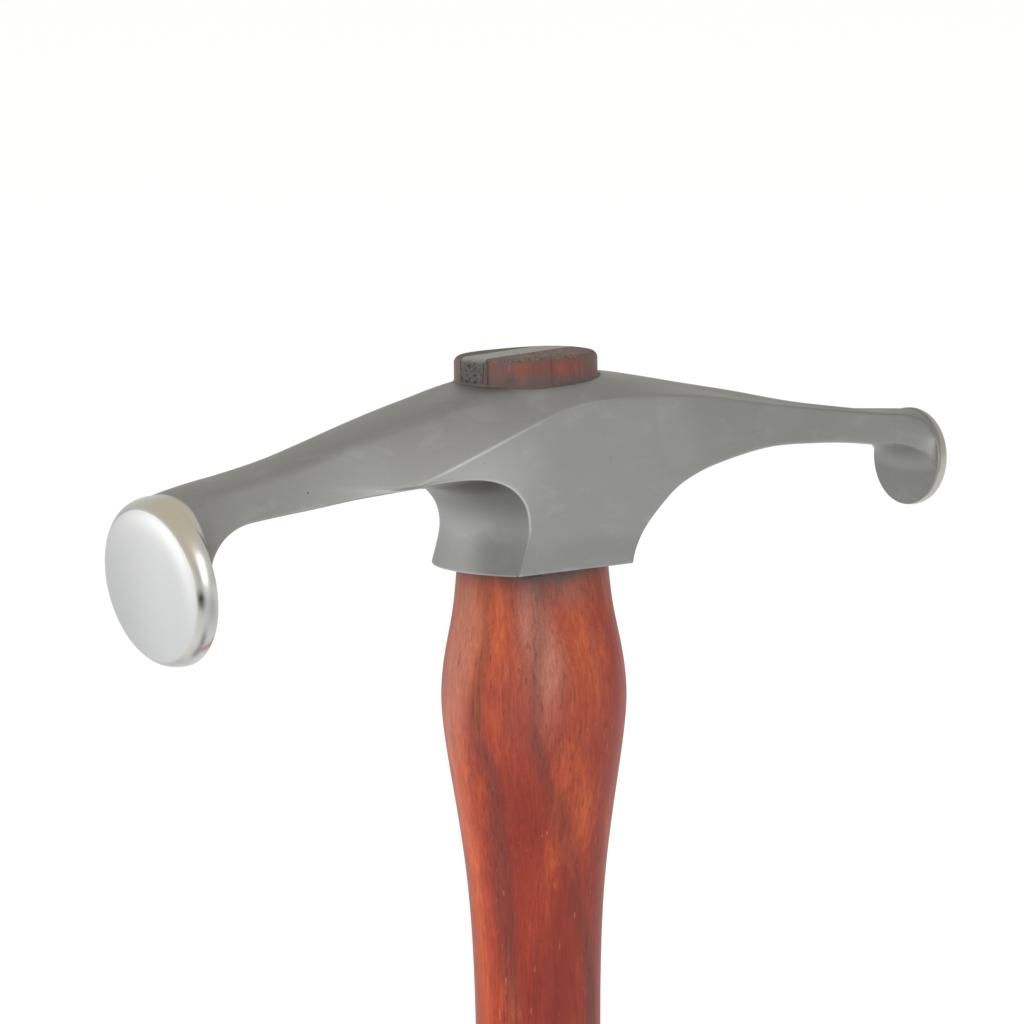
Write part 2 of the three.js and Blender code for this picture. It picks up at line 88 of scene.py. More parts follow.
FAR_EDGE_SHARES = [
    (0.15, 0.157, 1, 0), (0.172, 0.163, 1, 0.058), (0.2, 0.186, 1, 0.156), (0.24, 0.233, 1, 0.271),
    (0.29, 0.291, 1, 0.376), (0.34, 0.355, 1, 0.44), (0.4, 0.418, 0.94, 0.47), (0.5, 0.505, 0.79, 0.491),
    (0.63, 0.63, 0.61, 0.507), (0.76, 0.76, 0.505, 0.494), (0.88, 0.88, 0.46, 0.474), (1, 1, 0.5, 0.437),
]
FAR_KEEL_SHARES = [
    (0.15, 0.211, 0, 0), (0.172, 0.213, 0, 0.058), (0.2, 0.228, 0, 0.153), (0.24, 0.264, 0, 0.261),
    (0.29, 0.314, 0, 0.359), (0.34, 0.37, 0, 0.424), (0.4, 0.426, 0, 0.458), (0.5, 0.507, 0, 0.48),
    (0.63, 0.63, 0, 0.495), (0.76, 0.76, 0, 0.48), (0.88, 0.88, 0, 0.458), (1, 1, 0, 0.421),
]

# For the same shares of the way out, how far out the ridge, the shoulder and the crease lie. Over the near
# scoop they lag behind, so that the cheek's lines fan out without crossing.
NEAR_TOP_SHARES = [
    (0.15, 0.01), (0.175, 0.038), (0.2, 0.07), (0.235, 0.115), (0.275, 0.174), (0.32, 0.25), (0.37, 0.335),
    (0.43, 0.42), (0.51, 0.51), (0.6, 0.6), (1, 1),
]
FAR_TOP_SHARES = [(0.15, 0.15), (1, 1)]
COLLAR_SHARE = NEAR_EDGE_SHARES[0][0]
COLLAR_ROUND_SHARE = 0.004
CHEEK_TIP_SHARE = -CREASE_SHARES[0][0]
FLANK_RUNOUT_SHARE = 0.34
FLANK_LOW_SHARE = 0.02
FLANK_FADE_SHARE = 0.45
CROWN_CONTROL_SHARE = 0.45
FILLET_SHARE = 0.45
KEEL_ROUNDNESS_SHARE = 0.45

# The near flank is eased over a neighbourhood of this share of the way out. The easing grows between the two
# shares of the first pair and fades from the lower to the higher share of the second pair.
EASE_SHARE = 0.07
EASE_RISE_SHARES = (0.34, 0.42)
EASE_FADE_SHARES = (0.85, 0.72)

# Where each guide curve meets a face's rim, in degrees from the side, top first
NEAR_RIM_ANGLES = (90, 52, 22, -4, -90)
FAR_RIM_ANGLES = (90, 76, 42, -10, -90)

# Points in a head section: ridge to shoulder, round, flank, round, cheek, round, underside
SECTION_STEPS = (60, 16, 40, 12, 60, 12, 60)
SECTION_STRIDES = (4, 2, 4, 2, 4, 2, 4)
ARM_STATIONS = 150
EYE_STATIONS = 26
CORNER_STATIONS = 9
INNER_STATIONS = 12
STATION_CROWDING = 1.15
LOOKUP_STEPS = 4001
OVAL_STEPS = 1441
FLARE_RINGS = 24
BACK_RINGS = 6
RIM_RINGS = 14
FLAT_RING_SHARES = (0.985, 0.95, 0.9, 0.83, 0.74, 0.62, 0.46, 0.25)

# Handle outline as shares: depth below the collar, half width, half depth
HANDLE_OUTLINE_SHARES = [
    (0, 0.848, 0.735), (0.032, 0.882, 0.83), (0.057, 0.945, 0.927), (0.093, 0.997, 0.997),
    (0.123, 0.964, 0.952), (0.173, 0.852, 0.831), (0.227, 0.748, 0.726), (0.282, 0.698, 0.676),
    (0.341, 0.682, 0.66), (0.41, 0.696, 0.672), (0.545, 0.797, 0.773), (0.682, 0.926, 0.898),
    (0.782, 0.973, 0.953), (0.886, 0.919, 0.906), (0.955, 0.79, 0.78), (0.985, 0.68, 0.67), (1, 0.59, 0.58),
]
HANDLE_ROUNDNESS_SHARE = 0.93
TENON_ROUNDNESS_SHARE = 0.8
TENON_FOOT_SHARE = 0.94
TENON_WIDENING_SHARES = (0.35, 0.85)
BUTT_CAP_SHARES = (0.4, 0.9, 0.985)
TENON_CAP_SHARES = (0.97, 0.6, 0.3)
HANDLE_RINGS = 350
HANDLE_SIDES = 200
TENON_RINGS = 24
TENON_SIDES = 160
WEDGE_END_STEPS = 33
TENON_FOOT_RINGS = 8
RESIN_SIDES = 240
MERGE_DISTANCE = 1e-8
OVERLAP = 0.03 * MM

# The resin's waves: how many round the oval, size and start. The lip under the collar swells at an angle to the
# right of the front, and its section runs out from the wood and back: growth (mm, then a share of the lip's
# height) and height (mm, then a share).
SLEEVE_WAVES = [(3, 0.3, 1), (7, 0.2, 2)]
BEAD_WAVES = [(5, 0.16, 0), (11, 0.12, 1), (23, 0.08, 2)]
BEAD_SWELL_ANGLE = math.radians(25)
BEAD_SWELL_WIDTH = 0.75
BEAD_SECTION = [
    (-0.3, 0, -0.01, 0), (0, 0.5, -0.01, 0), (0, 0.42, 0, -0.35), (0, 0.3, 0, -0.75), (-0.1, 0, 0, -1.1),
]

# Dark streaks in the wood: depth below the collar (mm), the streak's middle as an angle to the right of the
# front (degrees), half width (mm) and strength. The front is where the camera stands.
WOOD_STREAKS = [
    [(0, -33, 0.8, 0.1), (7, -32, 0.9, 0.3), (11, -32, 1.0, 0.55), (16, -35, 1.2, 0.8), (21, -38, 1.3, 0.8),
     (26, -36, 1.3, 0.8), (30, -32, 1.5, 0.85), (41, -29, 1.9, 0.85), (51, -27, 1.9, 0.85), (63, -26, 1.6, 0.8),
     (90, -20, 1.4, 0.6), (130, -26, 1.6, 0.8), (180, -15, 1.6, 0.6), (220, -20, 1.0, 0.5)],
    [(0, 4, 1.6, 0.5), (9, 3, 1.3, 0.55), (13, 3, 1.0, 0.7), (18, 2, 1.0, 0.65), (23, 1, 1.0, 0.7),
     (28, 4, 1.2, 0.75), (32, 7, 1.3, 0.6), (36, 16, 1.8, 0.55), (44, 30, 1.8, 0.5), (51, 42, 1.6, 0.4),
     (58, 56, 1.5, 0.7), (80, 62, 1.5, 0.6), (120, 60, 1.5, 0.7), (220, 70, 1.3, 0.5)],
    [(0, -78, 1.4, 0.4), (30, -74, 1.2, 0.3), (80, -66, 1.0, 0.3), (140, -60, 1.5, 0.7), (220, -50, 1.5, 0.5)],
    [(0, 150, 1.5, 0.7), (60, 140, 1.4, 0.8), (120, 155, 1.7, 0.7), (220, 150, 1.2, 0.6)],
    [(0, -140, 1.4, 0.6), (50, -132, 1.6, 0.7), (110, -150, 1.2, 0.8), (220, -138, 1.4, 0.6)],
    [(0, 100, 1.0, 0.5), (70, 108, 1.6, 0.7), (150, 96, 1.0, 0.6), (220, 104, 1.4, 0.7)],
]

# Patches of lighter and of deeper colour; the lighter ones on the left, between -40 and -62 degrees, are partly
# painted light: depth (mm), angle (degrees), half height (mm), half width (mm), and strength, where a minus is
# deeper
WOOD_PATCHES_AND_LIGHT = [
    (5, -25, 5.5, 1.5, 1.0), (13, -22, 6, 2.2, 0.6), (26, -53, 6, 1.4, 0.7), (31, 21, 6, 2.6, 0.7),
    (22, -28, 2, 0.9, 0.6), (28, -17, 4, 1.4, 0.45), (39, 45, 6, 2.8, 1.1), (42, 10, 6, 1.6, 0.6),
    (56, 1, 5, 2.0, 0.5), (14, -40, 8, 1.6, 0.7), (34, -62, 12, 2.8, 1.0), (52, -57, 14, 2.2, 0.6),
    (67, -55, 12, 1.8, 0.5), (9, -48, 8, 4.0, 1.2), (13, 39, 6, 2.4, 0.7), (36, 0, 5, 3.0, -0.5),
    (40, 3, 4, 2.0, -0.5), (67, 12, 8, 2.6, -0.8), (56, -22, 6, 1.6, -0.5), (33, 45, 5, 2.0, 0.3),
    (68, -25, 4, 0.9, 0.7), (6, 38, 6, 2.4, 0.35), (18, 47, 10, 2.5, 0.2), (21, 24, 8, 2.0, 0.3),
    (34, -14, 12, 2.2, -0.7), (44, -12, 8, 1.6, -0.4), (28, 10, 6, 2.0, -0.6), (23, 18, 4, 1.6, -0.4),
    (65, -4, 8, 2.4, -0.5), (65, 33, 8, 2.4, -0.5), (18, -8, 8, 1.6, -0.3), (47, 62, 8, 1.8, -0.4),
    (53, 39, 5, 2.0, -0.6), (20, 73, 14, 1.4, -0.4), (66, 72, 20, 2.4, -0.6), (90, 20, 16, 3.0, 0.7),
    (104, -40, 14, 2.5, -0.6), (120, 10, 16, 2.6, 0.8), (150, -30, 18, 3.0, 0.6), (160, 25, 16, 3.0, -0.6),
    (190, -5, 14, 3.0, 0.6), (30, 150, 16, 3.5, 0.8), (60, 178, 14, 3.0, -0.7), (60, 4, 9, 2.4, -0.5),
    (36, 52, 8, 2.4, -0.3), (90, 160, 18, 3.5, 0.6), (140, 130, 18, 3.0, 0.7), (60, 112, 14, 3.0, -0.6),
    (190, 165, 16, 3.5, 0.6), (110, 92, 18, 3.0, 0.5), (25, -120, 14, 3.0, 0.6), (75, -110, 16, 3.0, -0.6),
    (130, -105, 16, 3.0, 0.7), (20, 112, 10, 2.5, 0.5), (150, -170, 18, 3.5, -0.6),
]

# Dull worn places, greyer than the wood, partly a painted sheen, most of all on the left between -47 and -70
# degrees: depth (mm), angle (degrees), half height (mm), half width (mm), strength
WOOD_DULL_AND_SHEEN = [
    (5, -3, 5, 1.8, 0.85), (12, 8, 5, 1.6, 0.65), (14, 13, 4, 2.2, 0.6), (20, 8, 6, 2.2, 0.4),
    (6, -51, 4.5, 1.5, 0.5), (13, -60, 11, 3.4, 1.0), (10, -47, 7, 2.8, 0.8), (30, -70, 10, 2.0, 0.5),
    (21, -56, 7, 3.0, 0.35), (9, 0, 5, 2.5, 0.35), (15, 0, 13, 9.0, 0.3), (3, 35, 3, 3.0, 0.5),
    (12, 51, 7, 1.4, 0.2), (10, 140, 8, 3.0, 0.8), (16, -150, 8, 3.0, 0.8),
]

# Cracks down the tenon's side: side (1 front, -1 back), place to the right of the handle's axis (mm), half width
# (mm) and strength. The notch has place, half width, height above the collar, half height and strength.
TENON_CRACKS = [
    (1, -6.45, 0.17, 1.0), (1, 3.35, 0.12, 0.8), (1, -7.4, 0.1, 0.5), (-1, 5.2, 0.15, 0.8), (-1, -2, 0.12, 0.6),
]
TENON_NOTCH = (-2.9, 1.0, 29.7, 0.55, 0.8)

# Darkening of the wood. Under the collar: strength, middle and width of two bells by depth (mm) and of one by angle
# (degrees). Round the tenon's foot it reaches up to a ragged line, and it climbs at places to the left and right of
# the handle's axis (mm).
COLLAR_DARKENING = ((1.3, 0, 1.6), (0.4, 3, 2.5))
COLLAR_DARKENING_LEAST = 0.35
COLLAR_DARKENING_FRONT = (0.65, 18, 40)
SEAT_HEIGHT = 28.3
SEAT_REACH = 1.6
SEAT_WAVES = [(1 / 17, 0.42, 0.6), (1 / 7, 0.24, 0)]
SEAT_LEFT_RISE = (0.95, -6.2, -7.0)
SEAT_MIDDLE_RISE = (1, -0.6, -3.2)
SEAT_MIDDLE_LEAST = 0.45
SEAT_FOOT_RISE = (0.45, 31.2, 29.2)
SEAT_RIGHT_RISE = (0.55, 6.5, 9)
TENON_BARE_HEIGHT = 26

# Painted dark reflections on the large face's rim: angle up from its right side (degrees), half width (degrees),
# place and half width behind the face (mm) and strength
RIM_DARK_REFLECTIONS = [
    (-5, 7, 0.5, 0.5, 0.75), (4, 15, 0.6, 0.6, 0.3), (-8, 14, 2.0, 0.9, 0.42), (-36, 9, 1.25, 0.4, 0.6),
    (-50, 6, 1.1, 0.45, 0.5),
]

# Painted light on the near arm's flank, and painted shade near its crown where the strength is a minus: place
# along the head, half length, height, half height (mm) and strength
NEAR_ARM_LIGHT_AND_SHADE = [(-21, 15, 15, 7, 0.36), (-11, 8, 27.5, 4, -0.12)]

# Painted light and shade on the blasted steel, and the cheeks' darker tone. A rise is a strength and the two places
# between which it grows, in millimetres out from the head's middle plane, up or along the arm, or as a share of the
# way out.
SCOOP_TONE = 1.34
SCOOP_ASIDE_RISE = (0.42, 1, 10.5)
SCOOP_UPWARD_RISE = (0.47, 5, 12)
SCOOP_END_RISE = (1, 0.5, 0.38)
NEAR_FLANK_LIGHT_RISE = (1, 0, 12)
FAR_ARM_SHADE_RISE = (0.14, 28, 68)
CHEEK_LINE = 11.05
CHEEK_TONE = 0.035
CHEEK_FOOT_RISE = (0.08, 4.4, 3.6)

# Wear, drawn as a painted glint, on the creases and on the cheeks' lower edges by the share of the way out, and
# the width of a worn line
NEAR_CREASE_TONE = 0.2
NEAR_CREASE_RISES = ((1, 0.53, 0.4), (0.8, 0.05, 0.3))
NEAR_EDGE_RISE = (0.5, 0.52, 0.4)
FAR_CREASE_RISE = (0.35, 0.3, 0)
FAR_EDGE_WEAR_AND_GLINT = 0.15
GLINT_WIDTH = 0.18 * MM

# The polished faces, with painted reflections. On the large one's flat the tone grows to the right and upwards,
# with a bright painted ring; its rim has painted light, dark and warm reflections, and the small face is darker and
# warm all over, also painted. Angles on the large face's rim (degrees) go up from the right side, and places on it
# (mm) lie behind the flat.
POLISH_BLUR = 0.06 * MM
FLAT_TONE = 0.755
FLAT_RIGHT_RISE = (0.195, -0.9, 0.3)
FLAT_UPWARD_TONE = 0.075
FLAT_END_RISE = (1, 0.22, 0)
RING_SHARE = 0.93
RING_WIDTHS = (0.17, 0.09)
RING_STRENGTH, RING_ANGLE, RING_SPREAD = 0.5, 50, 50
RING_WARMTH = 0.25
RIM_BRIGHT_REFLECTIONS = [(105, 12, 2.2, 1.2, 0.4)]
RIM_LOW_RISES = ((0.14, -25, -50), (0.22, -50, -68))
RIM_DARK_STRENGTH, RIM_DARK_ANGLE, RIM_DARK_SPREAD = 0.2, -22, 13
WARM_TOP_RISE = (1, 97, 75)
WARM_RIGHT_RISE = (1, 3, 25)
WARM_SLANT = 9
WARM_LEAST, WARM_FRONT, WARM_FRONT_DEPTH = 0.12, 0.45, 0.6
SMALL_FACE_TONE = 0.72
SMALL_FACE_WARMTH = 0.6

# Where a finish changes, in millimetres above the butt: the wood to the dirtier tenon, the tenon and the wedge to
# their rubbed tops, and the resin to its dusty upper part. The tenon's top is dusty behind the last one, which runs
# across the head.
TENON_BAND = (220.0, 220.5)
TENON_TOP_BAND = (251.0, 252.2)
WEDGE_TOP_BAND = (251.9, 252.5)
RESIN_DUST_BAND = (235.0, 240.0)
TENON_DUST_BAND = (3.0, 4.5)

# The photograph's camera: its place is worked out from the collar's middle
CAMERA_AZIMUTH = -37.9676
CAMERA_ELEVATION = 7.6276
CAMERA_ROLL = -0.7415
CAMERA_DISTANCE = 923.026 * MM
CAMERA_RIGHT = -3.139 * MM
CAMERA_UP = 7.827 * MM
CAMERA_SENSOR = 36.0
CAMERA_LENS = 210.94

# The studio: a dim warm room, a wide sun and a card on the left for the floor and the wood, and a tall soft window
# beside the camera
STUDIO_COLOUR = (1.0, 0.985, 0.92)
STUDIO_STRENGTH = 0.73
SUN_COLOUR = (0.96, 1.0, 1.08)
SUN_STRENGTH = 1.75
SUN_PLACE = (-1.7, -0.1, 2.0)
SUN_SPREAD = math.radians(60)
CARD_PLACE = (-2.2, 0.55, 0.75)
CARD_SIZE = (1.6, 1.6)
CARD_POWER = 22.0
WINDOW_PLACE = (-0.287, -1.66, 0.74)
WINDOW_SIZE = (0.8, 1.2)
WINDOW_POWER = 7.0
LIGHT_TARGET = (0, 0, 0.22)
FLOOR_HALF = 15


def a_length(name, description, millimetres):
    """One length among the settings."""
    return FloatProperty(name=name, description=description, default=millimetres * MM, unit="LENGTH")


def an_angle(name, description, degrees):
    """One angle among the settings."""
    return FloatProperty(name=name, description=description, default=math.radians(degrees), unit="ROTATION")


def a_colour(name, description, *shade):
    """One colour among the settings."""
    return FloatVectorProperty(name=name, description=description, default=shade, min=0, max=1, subtype="COLOR")


class HeadSizes(PropertyGroup):
    """Sizes of the steel head, measured from the collar's underside and the handle's axis."""

    ridge_height: a_length("Ridge height", "From the collar to the ridge over the eye", 29.5)
    cheek_half: a_length("Cheek half thickness", "From the middle of the head to a cheek", 11.2)
    near_reach: a_length("Near arm reach", "From the axis to the flare behind the large face", 57.5)
    far_reach: a_length("Far arm reach", "From the axis to the flare behind the small face", 69.5)
    shoulder_round: a_length("Shoulder round", "Rounding between the crown and a flank", 3)
    crease_round: a_length("Crease round", "Rounding between a flank and a cheek", 0.45)
    edge_round: a_length("Edge round", "Rounding between a cheek and the underside", 0.5)


def face_settings(flare, height, droop, radius, front_round, front_depth, rim_depth, back_round, fillet,
                  polish_depth, polish_slant):
    """Settings of one round face and of the flare behind it, from lengths in millimetres and angles in degrees."""
    return {
        "flare": a_length("Flare length", "From the arm's end to the middle of the face", flare),
        "height": a_length("Height", "Height of the face's middle above the collar", height),
        "droop": an_angle("Droop", "How far the face looks down", droop),
        "radius": a_length("Radius", "Radius of the rim", radius),
        "front_round": a_length("Front round", "How far the front rounding runs in from the rim", front_round),
        "front_depth": a_length("Front depth", "How far the front rounding runs back", front_depth),
        "rim_depth": a_length("Rim depth", "Straight part of the rim", rim_depth),
        "back_round": a_length("Back round", "How much narrower the back is than the rim", back_round),
        "fillet": a_length("Fillet", "Most that the flare opens in a curve", fillet),
        "polish_depth": a_length("Polish depth", "How far back from the face the steel is polished", polish_depth),
        "polish_slant": an_angle("Polish slant", "How far the end of the polish leans from the face", polish_slant),
    }


class LargeFaceSizes(PropertyGroup):
    """Sizes of the large face and of the flare behind it."""

    __annotations__ = face_settings(
        flare=13.8, height=3.6, droop=7.2, radius=12.85, front_round=1.65, front_depth=2.9, rim_depth=0.3,
        back_round=0.45, fillet=12.3, polish_depth=4.5, polish_slant=0)


class SmallFaceSizes(PropertyGroup):
    """Sizes of the small face and of the flare behind it."""

    __annotations__ = face_settings(
        flare=10, height=9.75, droop=3.3, radius=7.85, front_round=1.25, front_depth=1.6, rim_depth=1,
        back_round=0.15, fillet=4.5, polish_depth=2.0, polish_slant=3)


class HandleSizes(PropertyGroup):
    """Sizes of the wooden handle, its tenon and what holds the tenon in the eye."""

    length: a_length("Handle length", "From the butt to the collar", 220)
    half_width: a_length("Half width", "Half of the swell along the head", 14.76)
    half_depth: a_length("Half depth", "Half of the swell across the head", 12.8)
    tenon_half_width: a_length("Tenon half width", "Half of the tenon along the head", 11.66)
    tenon_half_depth: a_length("Tenon half depth", "Half of the tenon across the head", 8)
    tenon_stub: a_length("Tenon stub", "How far the tenon stands above the ridge", 3.15)
    tenon_edge: a_length("Tenon edge", "Rounding of the tenon's top edge", 1.2)
    eye_shift: a_length("Eye shift", "Place of the eye's middle along the head", -0.8)
    wedge_top: a_length("Wedge top", "Thickness of the wedge at the tenon's top", 5)
    wedge_tip: a_length("Wedge tip", "Thickness of the wedge at its tip", 2)
    wedge_depth: a_length("Wedge depth", "From the tenon's top to the wedge's tip", 26)
    wedge_turn: an_angle("Wedge turn", "Angle from the head's length to the wedge's, seen from above", 14)
    wedge_shift: a_length("Wedge shift", "From the eye's middle across the head to the wedge's middle", 1.7)
    joint_gap: a_length("Joint gap", "Width of the dark joint beside the wedge", 0.1)
    bedding: a_length("Bedding", "Width of the resin between the tenon and the steel", 0.45)
    squeeze_out: a_length("Squeeze-out", "Height of the resin bead under the collar", 1.1)


class Finishes(PropertyGroup):
    """Colours of the steel, the wood and the resin."""

    steel: a_colour("Satin steel", "Blasted steel of the head", 0.30, 0.30, 0.297)
    polished: a_colour("Polished steel", "Bright steel of the two faces", 0.59, 0.597, 0.6)
    polished_warm_reflection: a_colour("Warm polished steel", "Warm part of the polished rims", 0.6, 0.56, 0.465)
    wood: a_colour("Wood", "Main colour of the hardwood", 0.245, 0.026, 0.010)
    wood_light: a_colour("Light wood", "Colour of the lighter patches", 0.45, 0.084, 0.021)
    wood_deep: a_colour("Deep wood", "Colour of the deeper patches", 0.155, 0.012, 0.007)
    wood_dark: a_colour("Dark wood", "Colour of the streaks", 0.062, 0.019, 0.016)
    wood_dull_and_sheen: a_colour("Dull wood", "Colour of the worn places", 0.39, 0.152, 0.103)
    wood_fleck: a_colour("Wood flecks", "Colour of the thin light flecks", 0.48, 0.2, 0.06)
    dirt: a_colour("Dirt", "Colour of the dirt round the eye", 0.066, 0.062, 0.057)
    end_grain: a_colour("End grain", "Dark colour of the tenon's top", 0.06, 0.04, 0.032)
    end_grain_light: a_colour("Light end grain", "Light colour of the tenon's top", 0.165, 0.11, 0.085)
    wedge: a_colour("Wedge", "Colour of the wedge", 0.165, 0.157, 0.14)
    resin: a_colour("Resin", "Colour of the bedding", 0.03, 0.026, 0.024)
    dust: a_colour("Dust", "Colour of the dust on the bedding round the tenon", 0.09, 0.075, 0.062)
    floor: a_colour("Floor", "Colour of the floor", 0.9, 0.9, 0.9)


def natural_spline(rows, at):
    """Values at the given places of the smooth curve through rows whose first column is the place: a cubic
    between each two rows, with the same slope and bend where two cubics meet and no bend at the ends."""
    rows = np.asarray(rows, float)
    knots, values = rows[:, 0], rows[:, 1:]
    count = len(knots)
    span = np.diff(knots)
    slope = np.diff(values, axis=0) / span[:, None]
    system = np.eye(count)
    inner = np.arange(1, count - 1)
    system[inner, inner - 1] = span[:-1]
    system[inner, inner] = 2 * (span[:-1] + span[1:])
    system[inner, inner + 1] = span[1:]
    right = np.zeros_like(values)
    right[1:-1] = 6 * np.diff(slope, axis=0)
    bend = np.linalg.solve(system, right)
    at = np.clip(at, knots[0], knots[-1])
    i = np.clip(np.searchsorted(knots, at, side="right") - 1, 0, count - 2)
    after = ((at - knots[i]) / span[i])[:, None]
    before = 1 - after
    sag = (before**3 - before) * bend[i] + (after**3 - after) * bend[i + 1]
    return before * values[i] + after * values[i + 1] + sag * (span[i] ** 2)[:, None] / 6


def smooth_step(value, low, high):
    """0 at low and before, 1 at high and past it, and 3 t squared less 2 t cubed between them. It falls with the
    value where low is the greater."""
    t = np.clip((value - low) / (high - low), 0, 1)
    return t * t * (3 - 2 * t)


def rise(value, strength, low, high):
    """A strength times the smooth step from low to high."""
    return strength * smooth_step(value, low, high)


def bell(value, middle, width):
    """A bell curve: e to the power of less the square of the distance from the middle over the width."""
    return np.exp(-((value - middle) / width) ** 2)


def spots(rows, first, second):
    """A sum of soft spots. Each row holds the middle and width of a bell curve over the first place, then over the
    second, and the strength of their product."""
    return sum(row[4] * bell(first, row[0], row[1]) * bell(second, row[2], row[3]) for row in rows)


def waves(turn, middle, rows):
    """A middle value plus sine waves of the turn: how many, size and start in each row."""
    return middle + sum(size * np.sin(count * turn + start) for count, size, start in rows)


def bend_between(start, control, end, steps):
    """Quadratic curves from start to end pulled towards control, one for each row, without their first point."""
    u = (np.arange(1, steps + 1) / steps)[None, :, None]
    return start[:, None] * (1 - u) ** 2 + control[:, None] * (2 * u * (1 - u)) + end[:, None] * u * u


def towards(start, end, distance):
    """Points at a distance from start on the straight line to end, one for each row."""
    line = end - start
    return start + line * (distance / np.linalg.norm(line, axis=1))[:, None]


def running_length(points):
    """Length along each row of points from its first point."""
    steps = np.linalg.norm(np.diff(points, axis=1), axis=2)
    return np.concatenate([np.zeros((len(points), 1)), np.cumsum(steps, axis=1)], axis=1)


def oval(turn, half_width, half_depth, roundness):
    """Points of an oval: each half size times the cosine or sine of the turn, raised to the roundness with its
    sign kept, so 1 gives an ellipse and less gives squarer corners."""
    c, s = np.cos(turn), np.sin(turn)
    return (half_width * np.sign(c) * np.abs(c) ** roundness,
            half_depth * np.sign(s) * np.abs(s) ** roundness)


def oval_points(turn, half_width, half_depth, roundness, z, shift=0.0):
    """Points of an oval at a height, moved along the head."""
    x, y = oval(turn, half_width, half_depth, roundness)
    return np.stack([x + shift, y, np.broadcast_to(z, x.shape)], -1)


def oval_depth(along, half_width, half_depth, roundness):
    """Half depth of an oval at a place along its width: 1 less the share of the half width raised to
    2 / roundness, and that raised to roundness / 2, times the half depth. It is 0 outside the oval."""
    share = np.clip(1 - np.abs(along / half_width) ** (2 / roundness), 0, 1)
    return half_depth * share ** (roundness / 2)


class Arm(NamedTuple):
    """One arm of the head: its side (-1 or 1), reach, face and guide curves."""

    side: int
    reach: float
    face: PropertyGroup
    rim_angles: tuple
    edge_shares: list
    keel_shares: list
    top_shares: list

    def top_share(self, out):
        """How far out the ridge, the shoulder and the crease lie: straight from 0 up to the collar's corner, and
        past it the curve through the rows."""
        past = natural_spline(self.top_shares, np.maximum(out, COLLAR_SHARE))[:, 0]
        return past * np.minimum(out / COLLAR_SHARE, 1)


def underside_points(rows, arm, out, head):
    """Points of a guide curve under the head. Up to the collar's corner they run straight out from the middle,
    past it they follow the curve through the rows, and the corner itself is a short quadratic curve."""

    def raw(share):
        values = natural_spline(rows, np.maximum(share, COLLAR_SHARE))
        x = values[:, 0] * arm.reach * arm.side * np.minimum(share / COLLAR_SHARE, 1)
        return np.stack([x, values[:, 1] * head.cheek_half, values[:, 2] * head.ridge_height], 1)

    points = raw(out)
    near = np.abs(out - COLLAR_SHARE) < COLLAR_ROUND_SHARE
    ends = raw(COLLAR_SHARE + COLLAR_ROUND_SHARE * np.array([-1.0, 0.0, 1.0]))
    u = ((out[near] - COLLAR_SHARE) / COLLAR_ROUND_SHARE + 1)[:, None] / 2
    points[near] = ends[0] * (1 - u) ** 2 + ends[1] * 2 * u * (1 - u) + ends[2] * u * u
    return points


def head_sections(arm, out, head):
    """Half sections of an arm on the +Y side, ridge to keel: a curved crown, a flank and a cheek that are
    straight, rounded corners between them, and an underside that bulges by a power of its width."""
    share = arm.top_share(out) * arm.side
    x = share * arm.reach

    def top(rows):
        values = natural_spline(rows, share)
        return np.stack([x, values[:, 0] * head.cheek_half, values[:, 1] * head.ridge_height], 1)

    ridge = np.stack([x, 0 * x, natural_spline(RIDGE_SHARES, share)[:, 0] * head.ridge_height], 1)
    shoulder = top(SHOULDER_SHARES)
    crease = top(CREASE_SHARES)
    edge = underside_points(arm.edge_shares, arm, out, head)
    keel = underside_points(arm.keel_shares, arm, out, head)
    if arm.side < 0:
        fade = smooth_step(out, CHEEK_TIP_SHARE, CHEEK_TIP_SHARE + FLANK_RUNOUT_SHARE)
        faded = edge + (shoulder - edge) * (FLANK_LOW_SHARE + FLANK_FADE_SHARE * fade)[:, None]
        crease = np.where((out > CHEEK_TIP_SHARE)[:, None], faded, crease)
    path = [np.stack([x, shoulder[:, 1] * CROWN_CONTROL_SHARE, ridge[:, 2]], 1), shoulder, crease, edge]
    lengths = [np.linalg.norm(after - before, axis=1) for before, after in zip(path, path[1:])]
    sizes = zip((head.shoulder_round, head.crease_round, head.edge_round), lengths, lengths[1:] + lengths[-1:])
    rounds = [np.minimum(size, FILLET_SHARE * np.minimum(before, after)) for size, before, after in sizes]
    steps = SECTION_STEPS[-1]
    width = (1 - rounds[-1] / edge[:, 1])[:, None] * (1 - np.arange(steps + 1) / steps)[None]
    bulge = width ** (1 / KEEL_ROUNDNESS_SHARE)
    under = keel[:, None] + (edge - keel)[:, None] * bulge[:, :, None]
    under[:, :, 1] = width * edge[:, 1:2]
    stops = [ridge]
    for before, corner, after, size in zip(path, path[1:], path[2:], rounds):
        stops += [towards(corner, before, size), towards(corner, after, size)]
    stops += [towards(edge, crease, rounds[-1]), under[:, 0]]
    controls = [path[0], shoulder, (stops[2] + stops[3]) / 2, crease, (stops[4] + stops[5]) / 2, edge]
    curves = map(bend_between, stops, controls, stops[1:], SECTION_STEPS)
    return np.concatenate([ridge[:, None], *curves, under[:, 1:]], axis=1)


def section_picks():
    """Numbers of the section points that the mesh keeps, and the kept points' numbers nearest the guide curves."""
    starts = np.concatenate([[0], np.cumsum(SECTION_STEPS)])
    picks = np.unique(np.concatenate([
        np.arange(start, end + 1, stride) for start, end, stride in zip(starts, starts[1:], SECTION_STRIDES)]))
    middles = [0, (starts[1] + starts[2]) / 2, (starts[3] + starts[4]) / 2, (starts[5] + starts[6]) / 2, starts[7]]
    marks = np.array([np.argmin(np.abs(picks - middle)) for middle in middles])
    return picks, marks


